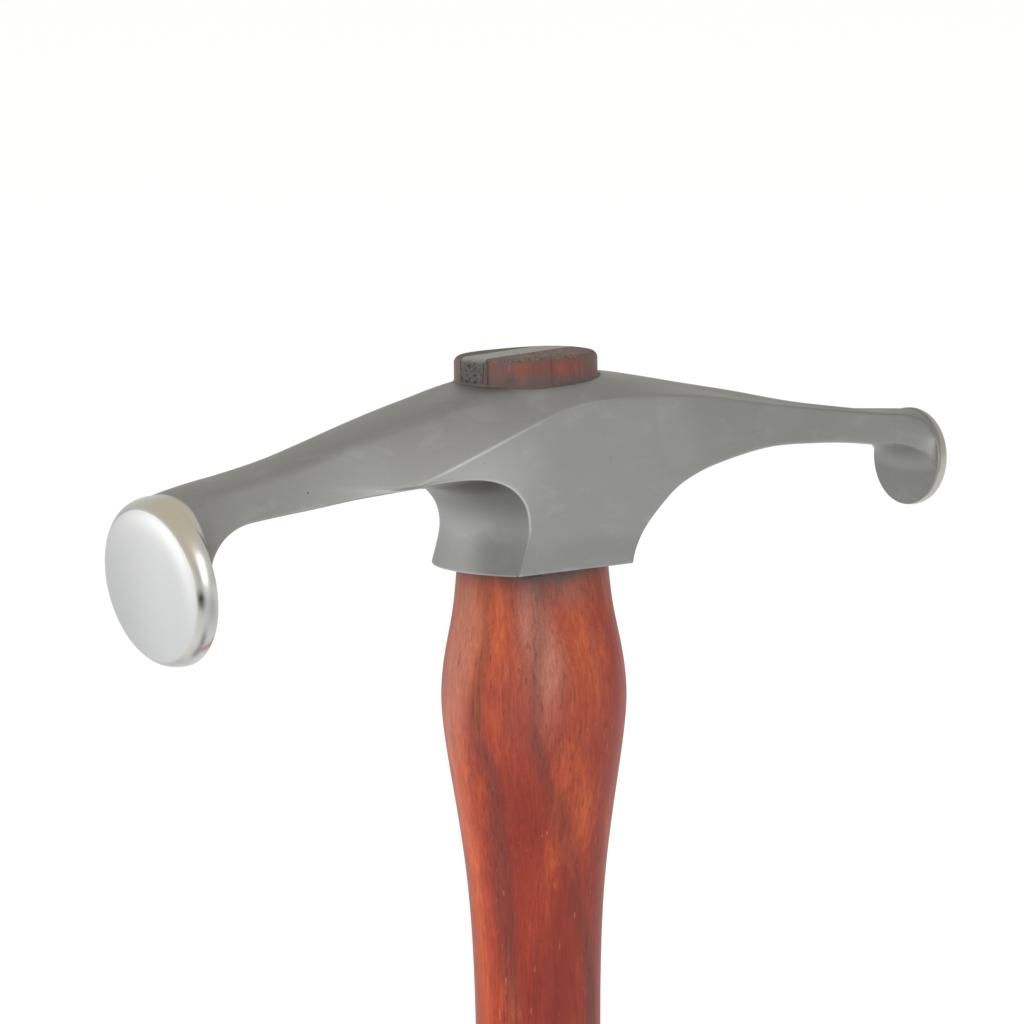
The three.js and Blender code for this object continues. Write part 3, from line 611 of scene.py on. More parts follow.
def resample(points, length, wanted):
    """Points at the wanted lengths along each row, straight between the row's own points."""
    before = (length[:, None, :] <= wanted[:, :, None]).sum(2) - 1
    before = np.clip(before, 0, points.shape[1] - 2)
    rows = np.arange(len(points))[:, None]
    low, high = length[rows, before], length[rows, before + 1]
    t = ((wanted - low) / np.maximum(high - low, 1e-12))[:, :, None]
    return points[rows, before] * (1 - t) + points[rows, before + 1] * t


def length_at_width(points, length, first, last, width):
    """Length along each row where its y passes the given width, between two of its points."""
    y = points[:, first:last + 1, 1]
    rising = y[:, -1] > y[:, 0]
    passed = np.where(rising[:, None], y < width[:, None], y > width[:, None]).sum(1)
    after = np.clip(first + passed, first + 1, last)
    rows = np.arange(len(points))
    low, high = points[rows, after - 1, 1], points[rows, after, 1]
    t = np.clip((width - low) / np.where(np.abs(high - low) < 1e-12, 1, high - low), 0, 1)
    return length[rows, after - 1] * (1 - t) + length[rows, after] * t


def open_eye(dense, handle, picks, marks):
    """Sections with the eye left out: the part above the crease is drawn together towards it so that it starts
    on the eye's oval, and the part past the lower edge so that it ends there."""
    length = running_length(dense)
    along = length[:, picks]
    crease, edge = picks[marks[2]], picks[marks[3]]
    gap = handle.bedding
    roundness = TENON_ROUNDNESS_SHARE
    top = oval_depth(dense[:, 0, 0] - handle.eye_shift, handle.tenon_half_width + gap,
                     handle.tenon_half_depth + gap, roundness)
    foot = oval_depth(dense[:, -1, 0] - handle.eye_shift, handle.tenon_half_width * TENON_FOOT_SHARE + gap,
                      handle.tenon_half_depth * TENON_FOOT_SHARE + gap, roundness)
    foot = np.where(dense[:, -1, 2] > 0.1 * MM, 0, foot)
    start = np.where(top > 0, length_at_width(dense, length, 0, crease, top), 0)
    end = np.where(foot > 0, length_at_width(dense, length, edge, dense.shape[1] - 1, foot), length[:, -1])
    s_crease, s_edge = length[:, crease], length[:, edge]
    upper = start[:, None] + along * ((s_crease - start) / s_crease)[:, None]
    lower = s_edge[:, None] + (along - s_edge[:, None]) * ((end - s_edge) / (length[:, -1] - s_edge))[:, None]
    number = np.arange(len(picks))[None]
    wanted = np.where(number < marks[2], upper, np.where(number > marks[3], lower, along))
    return resample(dense, length, wanted), top > 0


def face_rings(arm, last, marks):
    """Half rings from an arm's last section to the middle of its face: a quarter ellipse that flares out, the
    flat back, the rim, and a front rounding that is a quarter ellipse too, down to the flat. Also how far
    each point lies behind the face's plane."""
    face = arm.face
    outward = np.array([arm.side * math.cos(face.droop), 0, -math.sin(face.droop)])
    upward = np.array([arm.side * math.sin(face.droop), 0, math.cos(face.droop)])
    centre = np.array([arm.side * (arm.reach + face.flare), 0, face.height])
    angle = np.radians(np.interp(np.arange(len(last)), marks, arm.rim_angles))
    spoke = np.sin(angle)[:, None] * upward + np.cos(angle)[:, None] * np.array([0, 1, 0])

    def rim(radius, behind):
        return centre - outward * behind + spoke * radius

    back_radius = face.radius - face.back_round
    thickness = face.front_depth + face.rim_depth
    back = rim(back_radius, thickness)
    distance = (back - last) @ outward
    foot = last + distance[:, None] * outward
    width = np.linalg.norm(back - foot, axis=1)
    direction = (back - foot) / width[:, None]
    radial = np.minimum(width, face.fillet)
    rings = []
    for turn in np.linspace(0, np.pi / 2, FLARE_RINGS + 1)[1:]:
        rings.append(foot - outward * (distance * (1 - math.sin(turn)))[:, None]
                     + direction * (radial * (1 - math.cos(turn)))[:, None])
    for t in np.linspace(0, 1, BACK_RINGS + 1)[1:]:
        rings.append(rings[FLARE_RINGS - 1] * (1 - t) + back * t)
    for turn in np.linspace(0, np.pi / 2, BACK_RINGS + 1)[1:]:
        rings.append(rim(back_radius + face.back_round * math.sin(turn),
                         face.front_depth + face.rim_depth * math.cos(turn)))
    for turn in np.linspace(0, np.pi / 2, RIM_RINGS + 1)[1:]:
        rings.append(rim(face.radius - face.front_round * (1 - math.cos(turn)),
                         face.front_depth * (1 - math.sin(turn))))
    for share in FLAT_RING_SHARES:
        rings.append(rim((face.radius - face.front_round) * share, 0))
    return np.array(rings), centre, outward


def arm_stations(arm, handle):
    """Shares of the way out for an arm's sections: even steps that are closer at the collar, and extra ones that
    follow the eye's two ovals round their ends."""
    even = COLLAR_SHARE + (1 - COLLAR_SHARE) * np.linspace(0, 1, ARM_STATIONS) ** STATION_CROWDING
    corner = COLLAR_SHARE + COLLAR_ROUND_SHARE * np.linspace(-1, 1, CORNER_STATIONS)
    turn = np.linspace(0, np.pi / 2, EYE_STATIONS)
    along = np.cos(turn) ** TENON_ROUNDNESS_SHARE
    shift = handle.eye_shift * arm.side
    even_out = np.linspace(0, 1, LOOKUP_STEPS)
    top = np.interp(((handle.tenon_half_width + handle.bedding) * along + shift) / arm.reach,
                    arm.top_share(even_out), even_out)
    foot_half = handle.tenon_half_width * TENON_FOOT_SHARE + handle.bedding
    collar_end = arm.keel_shares[0][1] * arm.reach
    foot = (foot_half * along + shift) / collar_end * COLLAR_SHARE
    inner = np.linspace(0, COLLAR_SHARE, INNER_STATIONS)
    every = np.sort(np.concatenate([even, corner, top, foot, inner]))
    every = every[every >= 0]
    return every[np.concatenate([[True], np.diff(every) > 1e-5])]


def add_piece(name, node, slot, finish, sharp_degrees, points, faces, values=None):
    """A new piece at the origin from points in metres above the collar, faces, and numbers on each point. Points
    that lie together are merged, its two open loops are joined if it has any, its faces turn outwards, and it is
    smooth but for edges sharper than the angle. Then it gets its finish and its place in the frame, and the node
    that it stands for gets the same finish."""
    mesh = bpy.data.meshes.new(name)
    lifted = points + np.array([0, 0, bpy.context.scene.hammer_handle.length])
    mesh.from_pydata(lifted.tolist(), [], faces)
    for key, numbers in (values or {}).items():
        layer = mesh.attributes.new(key, "FLOAT", "POINT")
        layer.data.foreach_set("value", np.asarray(numbers, np.float32))
    mesh.validate()
    piece = bpy.data.objects.new(name, mesh)
    bpy.context.scene.collection.objects.link(piece)
    sheet = bmesh.new()
    sheet.from_mesh(mesh)
    bmesh.ops.remove_doubles(sheet, verts=sheet.verts, dist=MERGE_DISTANCE)
    bmesh.ops.dissolve_degenerate(sheet, edges=sheet.edges, dist=MERGE_DISTANCE)
    open_edges = [e for e in sheet.edges if e.is_boundary]
    if open_edges:
        bmesh.ops.bridge_loops(sheet, edges=open_edges)
    bmesh.ops.recalc_face_normals(sheet, faces=sheet.faces)
    for face in sheet.faces:
        face.smooth = True
    sheet.to_mesh(mesh)
    closed = all(e.is_manifold for e in sheet.edges)
    sheet.free()
    if not closed:
        raise RuntimeError(name + " is not closed")
    mesh.set_sharp_from_angle(angle=math.radians(sharp_degrees))
    material = finish(bpy.context.scene.hammer_finishes)
    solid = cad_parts[node].data
    solid.materials.clear()
    for dressed in (mesh, solid):
        dressed.materials.append(material)
    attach(piece, BODY)
    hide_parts(node)
    return {"FINISHED"}


def grid_faces(rows, columns, closed=False, ring=False):
    """Faces of a grid of points numbered row by row, joined round the columns if closed, and from the last row to
    the first if it is a ring."""
    r = np.arange(rows if ring else rows - 1)[:, None]
    c = np.arange(columns if closed else columns - 1)[None]
    here, below, beside = r * columns, (r + 1) % rows * columns, (c + 1) % columns
    return np.stack([here + c, here + beside, below + beside, below + c], -1).reshape(-1, 4).tolist()


def fan(middle, here, after):
    """Triangles from one middle point to pairs of neighbours, all as point numbers."""
    return np.stack([np.full(len(here), middle), here, after], 1).tolist()


def closed_loft(rings, cap_shares=()):
    """Points and faces of a body through closed rings of equally many points, with a middle point in each end. The
    last ring is repeated smaller for each cap share."""
    rings = np.concatenate([rings, cap_rings(rings[-1], cap_shares)]) if cap_shares else rings
    rows, columns = rings.shape[:2]
    points = np.concatenate([rings.reshape(-1, 3), rings[0].mean(0)[None], rings[-1].mean(0)[None]])
    first, end = rows * columns, (rows - 1) * columns
    ring = np.arange(columns)
    after = (ring + 1) % columns
    return points, (grid_faces(rows, columns, closed=True) + fan(first, after, ring)
                    + fan(first + 1, end + ring, end + after))


def closed_ring(rings):
    """Points and faces of a ring-shaped body whose section runs through the closed rings and back to the first."""
    return rings.reshape(-1, 3), grid_faces(*rings.shape[:2], closed=True, ring=True)


def cap_rings(ring, shares):
    """Smaller copies of a ring about its middle, in the same plane."""
    middle = ring.mean(0)
    return np.array([middle + (ring - middle) * share for share in shares])


def join_parts(parts):
    """One array of points and one list of faces from several pairs of them."""
    points, faces, offset = [], [], 0
    for some_points, some_faces in parts:
        points.append(some_points)
        faces += [[number + offset for number in face] for face in some_faces]
        offset += len(some_points)
    return np.concatenate(points), faces


def ease_flank(rows, out, marks):
    """Eases the near flank where the crease runs out. Each point is drawn towards the straight line fitted to its
    neighbours along the arm, weighted by a bell curve: fully down to the crease, and less and less from there to
    the lower edge."""
    gap = (out[None] - out[:, None]) / EASE_SHARE
    weight = np.exp(-gap**2) * np.gradient(out)[None]
    total = weight.sum(1)
    lean = (weight * gap).sum(1)
    spread = (weight * gap**2).sum(1)
    fitted = weight * (spread[:, None] - lean[:, None] * gap) / (total * spread - lean**2)[:, None]
    number = np.arange(marks[3] + 1)
    up = np.clip((marks[3] - number) / (marks[3] - marks[2]), 0, 1)
    along = smooth_step(out, *EASE_RISE_SHARES) * smooth_step(out, *EASE_FADE_SHARES)
    share = (along[:, None] * up[None])[:, :, None]
    top = rows[:, :marks[3] + 1]
    eased = np.einsum("ij,jkl->ikl", fitted, top)
    eased[:, 0, 1] = 0
    rows[:, :marks[3] + 1] = top * (1 - share) + eased * share


def steel_tone(arm, sheet, reach, edge, polished):
    """How light the steel is at each point, with painted light and shade. The near scoop grows lighter towards the
    head's middle plane in painted light and darker upwards in painted shade, the near arm has painted light on its
    flank and painted shade near its crown, the far arm darkens outwards in painted shade, and the cheeks are a
    little darker, most of all at their foot. The polished small face takes a darker painted tone."""
    x, aside, height = sheet[:, :, 0] / MM, np.abs(sheet[:, :, 1]) / MM, sheet[:, :, 2] / MM
    if arm.side < 0:
        # Painted light in the scoop, lighter towards the middle plane, and painted shade under its top edge.
        inner = rise(reach, *SCOOP_END_RISE)[:, None]
        lit = (SCOOP_TONE - rise(aside, *SCOOP_ASIDE_RISE)) * (1 - rise(height, *SCOOP_UPWARD_RISE))
        # Painted light on the near flank and painted shade near its crown.
        rubbed = spots(NEAR_ARM_LIGHT_AND_SHADE, x, height) * rise(-x, *NEAR_FLANK_LIGHT_RISE)
        tone = 1 + np.where(np.arange(sheet.shape[1])[None] > edge, (lit - 1) * inner, rubbed)
    else:
        # Painted shade, darker outwards along the far arm.
        tone = 1 - rise(x, *FAR_ARM_SHADE_RISE)
    tone -= (aside > CHEEK_LINE) * (CHEEK_TONE + rise(height, *CHEEK_FOOT_RISE))
    # The polished small face is darker, in painted shade.
    return tone * (1 - polished) + (1 if arm.side < 0 else SMALL_FACE_TONE) * polished


def face_reflections(points, face, pole, outward):
    """Painted reflections: how light and how warm the polished large face is at each point. On the flat a bright
    painted ring grows towards the upper right of its edge. Round the rim the colour is warm at the top right, a
    painted reflection, and painted light and dark reflections lie on it."""
    upward = np.array([outward[2], 0, -outward[0]])
    from_pole = points - pole
    behind = -(from_pole @ outward) / MM
    up, right = from_pole @ upward, -from_pole[:, 1]
    angle = np.degrees(np.arctan2(up, right))
    share = np.hypot(up, right) / (face.radius - face.front_round)
    ring = RING_STRENGTH * bell(share, RING_SHARE, np.where(share < RING_SHARE, *RING_WIDTHS))
    ring *= bell(angle, RING_ANGLE, RING_SPREAD)
    flat = FLAT_TONE + rise(right / face.radius, *FLAT_RIGHT_RISE) + FLAT_UPWARD_TONE * up / face.radius + ring
    rim = 1 + spots(RIM_BRIGHT_REFLECTIONS, angle, behind)
    rim *= np.clip(1 - spots(RIM_DARK_REFLECTIONS, angle, behind), 0.1, 1)
    rim *= 1 - rise(angle, *RIM_LOW_RISES[0]) - RIM_DARK_STRENGTH * bell(angle, RIM_DARK_ANGLE, RIM_DARK_SPREAD)
    rim *= 1 - rise(angle, *RIM_LOW_RISES[1])
    warm = rise(angle, *WARM_TOP_RISE) * rise(angle - WARM_SLANT * behind, *WARM_RIGHT_RISE)
    front = WARM_LEAST + WARM_FRONT * bell(behind, 0, WARM_FRONT_DEPTH)
    warm = np.maximum(warm, front * (angle < 90))
    on_flat = rise(behind, *FLAT_END_RISE)
    return flat * on_flat + rim * (1 - on_flat), warm * (1 - on_flat) + RING_WARMTH * ring * on_flat


def head_half(scene):
    """The head's +Y half as rows of points from one face's middle to the other's, each point's wear with its
    painted glint, polish and tone with painted light and shade, each face's middle point and outward direction, and
    the top of the eye's edge."""
    head, handle = scene.hammer_head, scene.hammer_handle
    picks, marks = section_picks()
    arms = [Arm(-1, head.near_reach, scene.hammer_large_face, NEAR_RIM_ANGLES, NEAR_EDGE_SHARES,
                NEAR_KEEL_SHARES, NEAR_TOP_SHARES),
            Arm(1, head.far_reach, scene.hammer_small_face, FAR_RIM_ANGLES, FAR_EDGE_SHARES, FAR_KEEL_SHARES,
                FAR_TOP_SHARES)]
    sheets, ends, eye = [], [], []
    values = {"wear_and_glint": [], "polish": [], "tone": []}
    for arm in arms:
        out = arm_stations(arm, handle)
        rows, in_top = open_eye(head_sections(arm, out, head), handle, picks, marks)
        flare, pole, outward = face_rings(arm, rows[-1], marks)
        sheet = np.concatenate([rows, flare])
        length = running_length(sheet)
        reach = np.concatenate([out, np.ones(len(flare))])
        top_reach = np.concatenate([arm.top_share(out), np.ones(len(flare))])
        if arm.side < 0:
            fading, growing = (rise(top_reach, *row) for row in NEAR_CREASE_RISES)
            crease_fade = fading * (NEAR_CREASE_TONE + growing)
            edge_fade = rise(reach, *NEAR_EDGE_RISE)
        else:
            crease_fade = rise(top_reach, *FAR_CREASE_RISE)
            edge_fade = FAR_EDGE_WEAR_AND_GLINT * (1 - reach)
        # Wear on the crease and the lower edge, drawn as a painted glint.
        worn = sum(bell(length, length[:, mark][:, None], GLINT_WIDTH) * fade[:, None]
                   for mark, fade in ((marks[2], crease_fade), (marks[3], edge_fade)))
        behind = -(sheet - pole) @ outward
        if arm.side < 0:
            ease_flank(rows, out, marks)
            sheet[:len(rows)] = rows
        polish_end = arm.face.polish_depth - (sheet[:, :, 2] - arm.face.height) * math.tan(arm.face.polish_slant)
        polished = smooth_step(polish_end - behind, -POLISH_BLUR, POLISH_BLUR)
        order = slice(None, None, -1) if arm.side < 0 else slice(1, None)
        toned = steel_tone(arm, sheet, reach, marks[3], polished)
        for key, numbers in (("wear_and_glint", worn), ("polish", polished), ("tone", toned)):
            values[key].append(numbers[order])
        sheets.append(sheet[order])
        eye.append(rows[in_top, 0][order])
        ends.append((pole, outward))
    values = {key: np.concatenate(numbers) for key, numbers in values.items()}
    return np.concatenate(sheets), values, ends, np.concatenate(eye)


def mirrored(points):
    """The same points on the other side of the head's middle plane."""
    return points * np.array([1, -1, 1])


class Wire:
    """One value in a material's nodes. Adding, taking away and multiplying it add Math nodes."""

    def __init__(self, recipe, socket):
        self.recipe = recipe
        self.socket = socket

    def maths(self, operation, *values, clamp=False):
        return self.recipe.node("ShaderNodeMath", {"operation": operation, "use_clamp": clamp},
                                dict(enumerate(values)))

    def __add__(self, other):
        return self.maths("ADD", self, other)

    def __sub__(self, other):
        return self.maths("SUBTRACT", self, other)

    def __rsub__(self, other):
        return self.maths("SUBTRACT", other, self)

    def __mul__(self, other):
        return self.maths("MULTIPLY", self, other)

    __radd__ = __add__
    __rmul__ = __mul__

    def within(self):
        """The value held between 0 and 1."""
        return self.maths("ADD", self, 0, clamp=True)


class Recipe:
    """A material's nodes around one Principled shader."""

    def __init__(self, name, metallic=0.0, specular=0.5):
        self.material = bpy.data.materials.new(name)
        self.material.use_nodes = True
        self.tree = self.material.node_tree
        self.shader = self.tree.nodes["Principled BSDF"]
        self.shader.inputs["Metallic"].default_value = metallic
        self.shader.inputs["Specular IOR Level"].default_value = specular

    def node(self, kind, settings=None, values=None, output=0):
        """Adds a node, sets it, then gives its sockets values or links."""
        made = self.tree.nodes.new(kind)
        for key, setting in (settings or {}).items():
            setattr(made, key, setting)
        for key, value in (values or {}).items():
            named = [socket for socket in made.inputs if socket.identifier == key]
            self.feed(named[0] if named else made.inputs[key], value)
        return Wire(self, made.outputs[output])

    def feed(self, socket, value):
        """Links a socket to a wire or sets it to a number, numbers or a colour."""
        if isinstance(value, Wire):
            self.tree.links.new(value.socket, socket)
        elif socket.type == "RGBA":
            socket.default_value = (*value[:3], 1)
        else:
            socket.default_value = value

    def into(self, name, value):
        self.feed(self.shader.inputs[name], value)

    def mix(self, share, first, second, blend="MIX"):
        """A colour between two colours."""
        return self.node("ShaderNodeMix", {"data_type": "RGBA", "blend_type": blend},
                         {"Factor_Float": share, "A_Color": first, "B_Color": second}, output=2)

    def tinted(self, colour, share):
        """A colour times a number."""
        return self.mix(1.0, colour, self.node("ShaderNodeCombineXYZ", None, {0: share, 1: share, 2: share}),
                        blend="MULTIPLY")

    def place(self, scale, turn=(0, 0, 0)):
        """The point's place in millimetres on the piece, each axis times a scale."""
        point = self.node("ShaderNodeTexCoord", output=3)
        return self.node("ShaderNodeMapping", {"vector_type": "POINT"}, {
            "Vector": point, "Rotation": turn, "Scale": tuple(s / MM for s in scale)})

    def noise(self, scale, detail=2.0, roughness=0.5, distortion=0.0, turn=(0, 0, 0)):
        """Soft noise from 0 to 1 with the given number of lumps to a millimetre along each axis."""
        return self.node("ShaderNodeTexNoise", {"noise_dimensions": "3D", "normalize": True}, {
            "Vector": self.place(scale, turn), "Scale": 1.0, "Detail": detail, "Roughness": roughness,
            "Distortion": distortion})

    def dots(self, scale, radius, softness):
        """1 inside small round dots at scattered places, 0 elsewhere. Radius is a share of their spacing."""
        distance = self.node("ShaderNodeTexVoronoi", {"feature": "F1", "distance": "EUCLIDEAN"}, {
            "Vector": self.place(scale), "Scale": 1.0, "Randomness": 1.0})
        return self.above(radius - distance, 0, softness)

    def above(self, value, low, high):
        """0 below low, 1 above high, and a smooth rise between them."""
        return self.node("ShaderNodeMapRange", {"interpolation_type": "SMOOTHSTEP", "clamp": True}, {
            "Value": value, "From Min": low, "From Max": high, "To Min": 0.0, "To Max": 1.0})

    def attribute(self, name):
        """A number that the mesh holds at each point."""
        return self.node("ShaderNodeAttribute", {"attribute_type": "GEOMETRY", "attribute_name": name}, output=2)

    def axis(self, number):
        """The point's place along X, Y or Z on the piece, in millimetres."""
        point = self.node("ShaderNodeTexCoord", output=3)
        return self.node("ShaderNodeSeparateXYZ", None, {"Vector": point}, output=number) * (1 / MM)

    def bump(self, height, distance):
        """A normal tilted by a height from 0 to 1 that stands for the distance in metres."""
        return self.node("ShaderNodeBump", None, {"Height": height, "Distance": distance, "Strength": 1.0})


def dim(colour, share):
    """A colour times a number."""
    return [part * share for part in colour]


def steel_finish(colours):
    """Blasted satin steel: faint clouds, fine grain, a few pits, worn edges with a painted glint, bright polished
    ends.
    """
    r = Recipe("satin_steel", metallic=1.0)
    polish = r.attribute("polish")
    wear_and_glint = r.attribute("wear_and_glint")
    clouds = r.noise((0.05, 0.07, 0.09), detail=3.0)
    grain = r.noise((3.2, 3.2, 3.2), detail=2.0, roughness=0.6)
    smears = r.noise((0.14, 0.2, 0.28), detail=4.0, roughness=0.55, distortion=0.4)
    pits = r.dots((0.16, 0.16, 0.16), 0.05, 0.02)
    tone = 0.82 + clouds * 0.18 + grain * 0.16 + r.above(smears, 0.52, 0.72) * 0.10
    # The tone carries painted light, shade and reflections; worn lines are brightened into a painted glint.
    tone = tone * r.attribute("tone") * (1 - pits * 0.45) * (1 + wear_and_glint * 0.75)
    # A warm painted reflection on the polished rims.
    bright = r.mix(r.attribute("warm").within(), colours.polished, colours.polished_warm_reflection)
    r.into("Base Color", r.tinted(r.mix(polish, colours.steel, bright),
                                  tone * (1 - polish) + r.attribute("tone") * polish))
    brushed = r.noise((0.6, 0.6, 6.0), detail=3.0)
    r.into("Roughness", (0.47 + grain * 0.06 - wear_and_glint * 0.1) * (1 - polish)
           + (0.22 + brushed * 0.04 + r.attribute("warm") * 0.15) * polish)
    height = grain * (1 - polish) - pits * 3.0
    r.into("Normal", r.bump(height, 0.012 * MM))
    return r.material


def wood_finish(colours):
    """Oiled red hardwood: fibres along the handle, deeper and lighter patches, dark streaks, short pores, thin
    light flecks, and a rough dark end grain on top of the dirty tenon."""
    r = Recipe("red_hardwood", specular=0.3)
    patch = r.attribute("patch")
    broad = r.noise((0.42, 0.42, 0.07), detail=3.0, distortion=0.3)
    mottle = r.noise((1.1, 1.1, 0.34), detail=5.0, roughness=0.65)
    fibre = r.noise((2.9, 2.9, 0.12), detail=4.0, roughness=0.65)
    fine = r.noise((6.5, 6.5, 0.4), detail=2.0, roughness=0.6)
    light = (r.above(broad, 0.45, 0.75) * 0.4 + patch * 0.6 + (mottle - 0.5) * 0.9 + (fibre - 0.5) * 0.5).within()
    deep = (r.above(1 - broad, 0.45, 0.75) * 0.5 - patch * 0.7 + (0.5 - mottle) * 0.9
            + (0.5 - fibre) * 0.4).within()
    # Lighter patches, those on the left partly painted light.
    colour = r.mix(light, colours.wood, colours.wood_light)
    colour = r.mix(deep * 0.8, colour, colours.wood_deep)
    # Dull worn wood, partly a painted sheen.
    colour = r.mix((r.attribute("dull_and_sheen") * (0.35 + fine * 0.5 + mottle * 0.5)).within() * 0.8, colour,
                   colours.wood_dull_and_sheen)
    colour = r.tinted(colour, 1 + (fibre - 0.5) * 0.7 + (fine - 0.5) * 0.45)
    lines = r.above(r.noise((2.6, 2.6, 0.045), detail=3.0, roughness=0.6), 0.52, 0.62)
    streaks = (r.attribute("streak") * (0.48 + r.above(fibre, 0.36, 0.6) * 0.25 + lines * 0.35)).within()
    colour = r.mix(streaks * 0.86 + lines * 0.1, colour, colours.wood_dark)
    pores = r.above(r.noise((2.1, 2.1, 0.4), detail=2.0, distortion=0.3), 0.66, 0.72)
    colour = r.mix(pores * 0.45, colour, colours.wood_dark)
    flecks = r.above(r.noise((2.4, 2.4, 0.3), detail=2.0, turn=(0.0, 0.06, 1.0)), 0.69, 0.77)
    colour = r.mix(flecks * 0.45, colour, colours.wood_fleck)
    height = r.axis(2)
    tenon = r.above(height, *TENON_BAND)
    colour = r.mix(tenon * (0.28 + mottle * 0.36 + r.above(height, *TENON_TOP_BAND) * 0.25), colour,
                   colours.dirt)
    end_grain = r.attribute("end_grain")
    blotches = r.noise((3.2, 3.2, 3.2), detail=3.0, roughness=0.65)
    specks = r.noise((4.5, 4.5, 4.5), detail=2.0, roughness=0.6)
    rough_top = r.mix(r.above(blotches, 0.42, 0.6), colours.end_grain, colours.end_grain_light)
    rough_top = r.mix(r.above(specks, 0.62, 0.72) * 0.35, rough_top, colours.wood_dull_and_sheen)
    rough_top = r.mix(r.above(r.axis(1), *TENON_DUST_BAND) * 0.8, rough_top, colours.dust)
    colour = r.mix(end_grain, colour, rough_top)
    # Darker under the collar and round the tenon's foot.
    darkening = (r.attribute("darkening") * (0.45 + mottle + (specks - 0.5) * 0.9)).within()
    colour = r.mix(darkening * 0.85, colour, colours.dirt)
    colour = r.mix(r.attribute("crack"), colour, dim(colours.dirt, 0.4))
    r.into("Base Color", colour)
    r.into("Roughness", 0.40 + fibre * 0.10 + end_grain * 0.3 + r.attribute("dull_and_sheen") * 0.08)
    r.into("Normal", r.bump(fibre * 0.5 + fine * 0.3 - pores * 0.8 + blotches * end_grain * 1.6
                            + (mottle * darkening - r.attribute("crack")) * 2.0, 0.05 * MM))
    return r.material


def wedge_finish(colours):
    """Light grey filler, rubbed smooth on top and darker and porous at its ends."""
    r = Recipe("grey_wedge", specular=0.4)
    top = r.above(r.axis(2), *WEDGE_TOP_BAND)
    lumps = r.noise((1.6, 1.6, 1.6), detail=4.0, roughness=0.65)
    grit = r.noise((4.0, 4.0, 4.0), detail=3.0, roughness=0.65)
    holes = r.above(r.noise((1.7, 1.7, 1.7), detail=3.0, roughness=0.65), 0.57, 0.63) * (1 - top)
    colour = r.tinted(colours.wedge, 0.09 + lumps * 0.32 + grit * 0.34 + top * 0.48)
    colour = r.mix(holes * 0.75, colour, dim(colours.resin, 0.5))
    r.into("Base Color", colour)
    r.into("Roughness", 0.66 - top * 0.24)
    r.into("Normal", r.bump((lumps + grit * 0.6) * (1 - top) - holes * 2.0, 0.16 * MM))
    return r.material


def resin_finish(colours):
    """Dull dark resin with small lumps, dusty where it shows on top of the head."""
    r = Recipe("dark_resin", specular=0.35)
    lumps = r.noise((1.2, 1.2, 1.2), detail=3.0)
    colour = r.mix(r.above(lumps, 0.35, 0.7), colours.resin, dim(colours.resin, 2.5))
    dust = r.above(r.axis(2), *RESIN_DUST_BAND) * (0.5 + lumps * 0.7)
    r.into("Base Color", r.mix(dust.within(), colour, colours.dust))
    r.into("Roughness", 0.48 + lumps * 0.2)
    r.into("Normal", r.bump(lumps, 0.08 * MM))
    return r.material


def floor_finish(colours):
    """Plain matte floor."""
    r = Recipe("pale_floor", specular=0.1)
    r.into("Base Color", colours.floor)
    r.into("Roughness", 0.9)
    return r.material


class HAMMER_OT_head(Operator):
    """Builds the steel head with its eye and its two round faces"""

    bl_idname = "hammer.head"
    bl_label = "Steel head"

    def execute(self, context):
        scene = context.scene
        half, values, ((pole, outward), (far_pole, _)), _ = head_half(scene)
        rows, columns = half.shape[:2]
        sheet = np.concatenate([half.reshape(-1, 3), [pole, far_pole]])
        column, end = np.arange(columns - 1), (rows - 1) * columns
        faces = (grid_faces(rows, columns) + fan(rows * columns, column, column + 1)
                 + fan(rows * columns + 1, end + column + 1, end + column))
        points, faces = join_parts([(sheet, faces), (mirrored(sheet), faces)])
        at_poles = {"wear_and_glint": [0, 0], "polish": [1, 1], "tone": [1, SMALL_FACE_TONE]}
        values = {key: np.tile(np.concatenate([numbers.ravel(), at_poles[key]]), 2)
                  for key, numbers in values.items()}
        # Painted reflections on the large face's flat and rim, and a warm painted reflection on both faces.
        shade, warm = face_reflections(points, scene.hammer_large_face, pole, outward)
        on_large = values["polish"] * (points[:, 0] < 0)
        values["tone"] *= 1 + (shade - 1) * on_large
        values["warm"] = warm * on_large + SMALL_FACE_WARMTH * values["polish"] * (points[:, 0] > 0)
        return add_piece("head_steel", "hammer_head", "head_steel", steel_finish, 38, points, faces, values)


def tenon_top(scene):
    """Height of the tenon's top above the collar."""
    return scene.hammer_head.ridge_height + scene.hammer_handle.tenon_stub


def tenon_size(height, handle, top):
    """Half width and half depth of the tenon at heights above the collar: wider towards the top, then drawn in
    over its rounded top edge by a quarter circle."""
    share = np.clip(height / top, 0, 1)
    scale = TENON_FOOT_SHARE + rise(share, 1 - TENON_FOOT_SHARE, *TENON_WIDENING_SHARES)
    over = np.clip((height - (top - handle.tenon_edge)) / handle.tenon_edge, 0, 1)
    inset = handle.tenon_edge * (1 - np.sqrt(1 - over**2))
    return handle.tenon_half_width * scale - inset, handle.tenon_half_depth * scale - inset


def tenon_levels(handle, top):
    """Heights from the wedge's tip to the tenon's top, closer together over its rounded edge, each with the oval's
    half sizes and half the wedge's thickness, a straight taper from its tip to its top."""
    turn = np.linspace(0, np.pi / 2, TENON_RINGS)
    straight = np.linspace(top - handle.wedge_depth, top - handle.tenon_edge, TENON_RINGS)
    height = np.concatenate([straight[:-1], top - handle.tenon_edge * (1 - np.sin(turn))])
    share = (top - height) / handle.wedge_depth
    half = (handle.wedge_top + (handle.wedge_tip - handle.wedge_top) * share) / 2
    return zip(height, np.transpose(tenon_size(height, handle, top)), half)


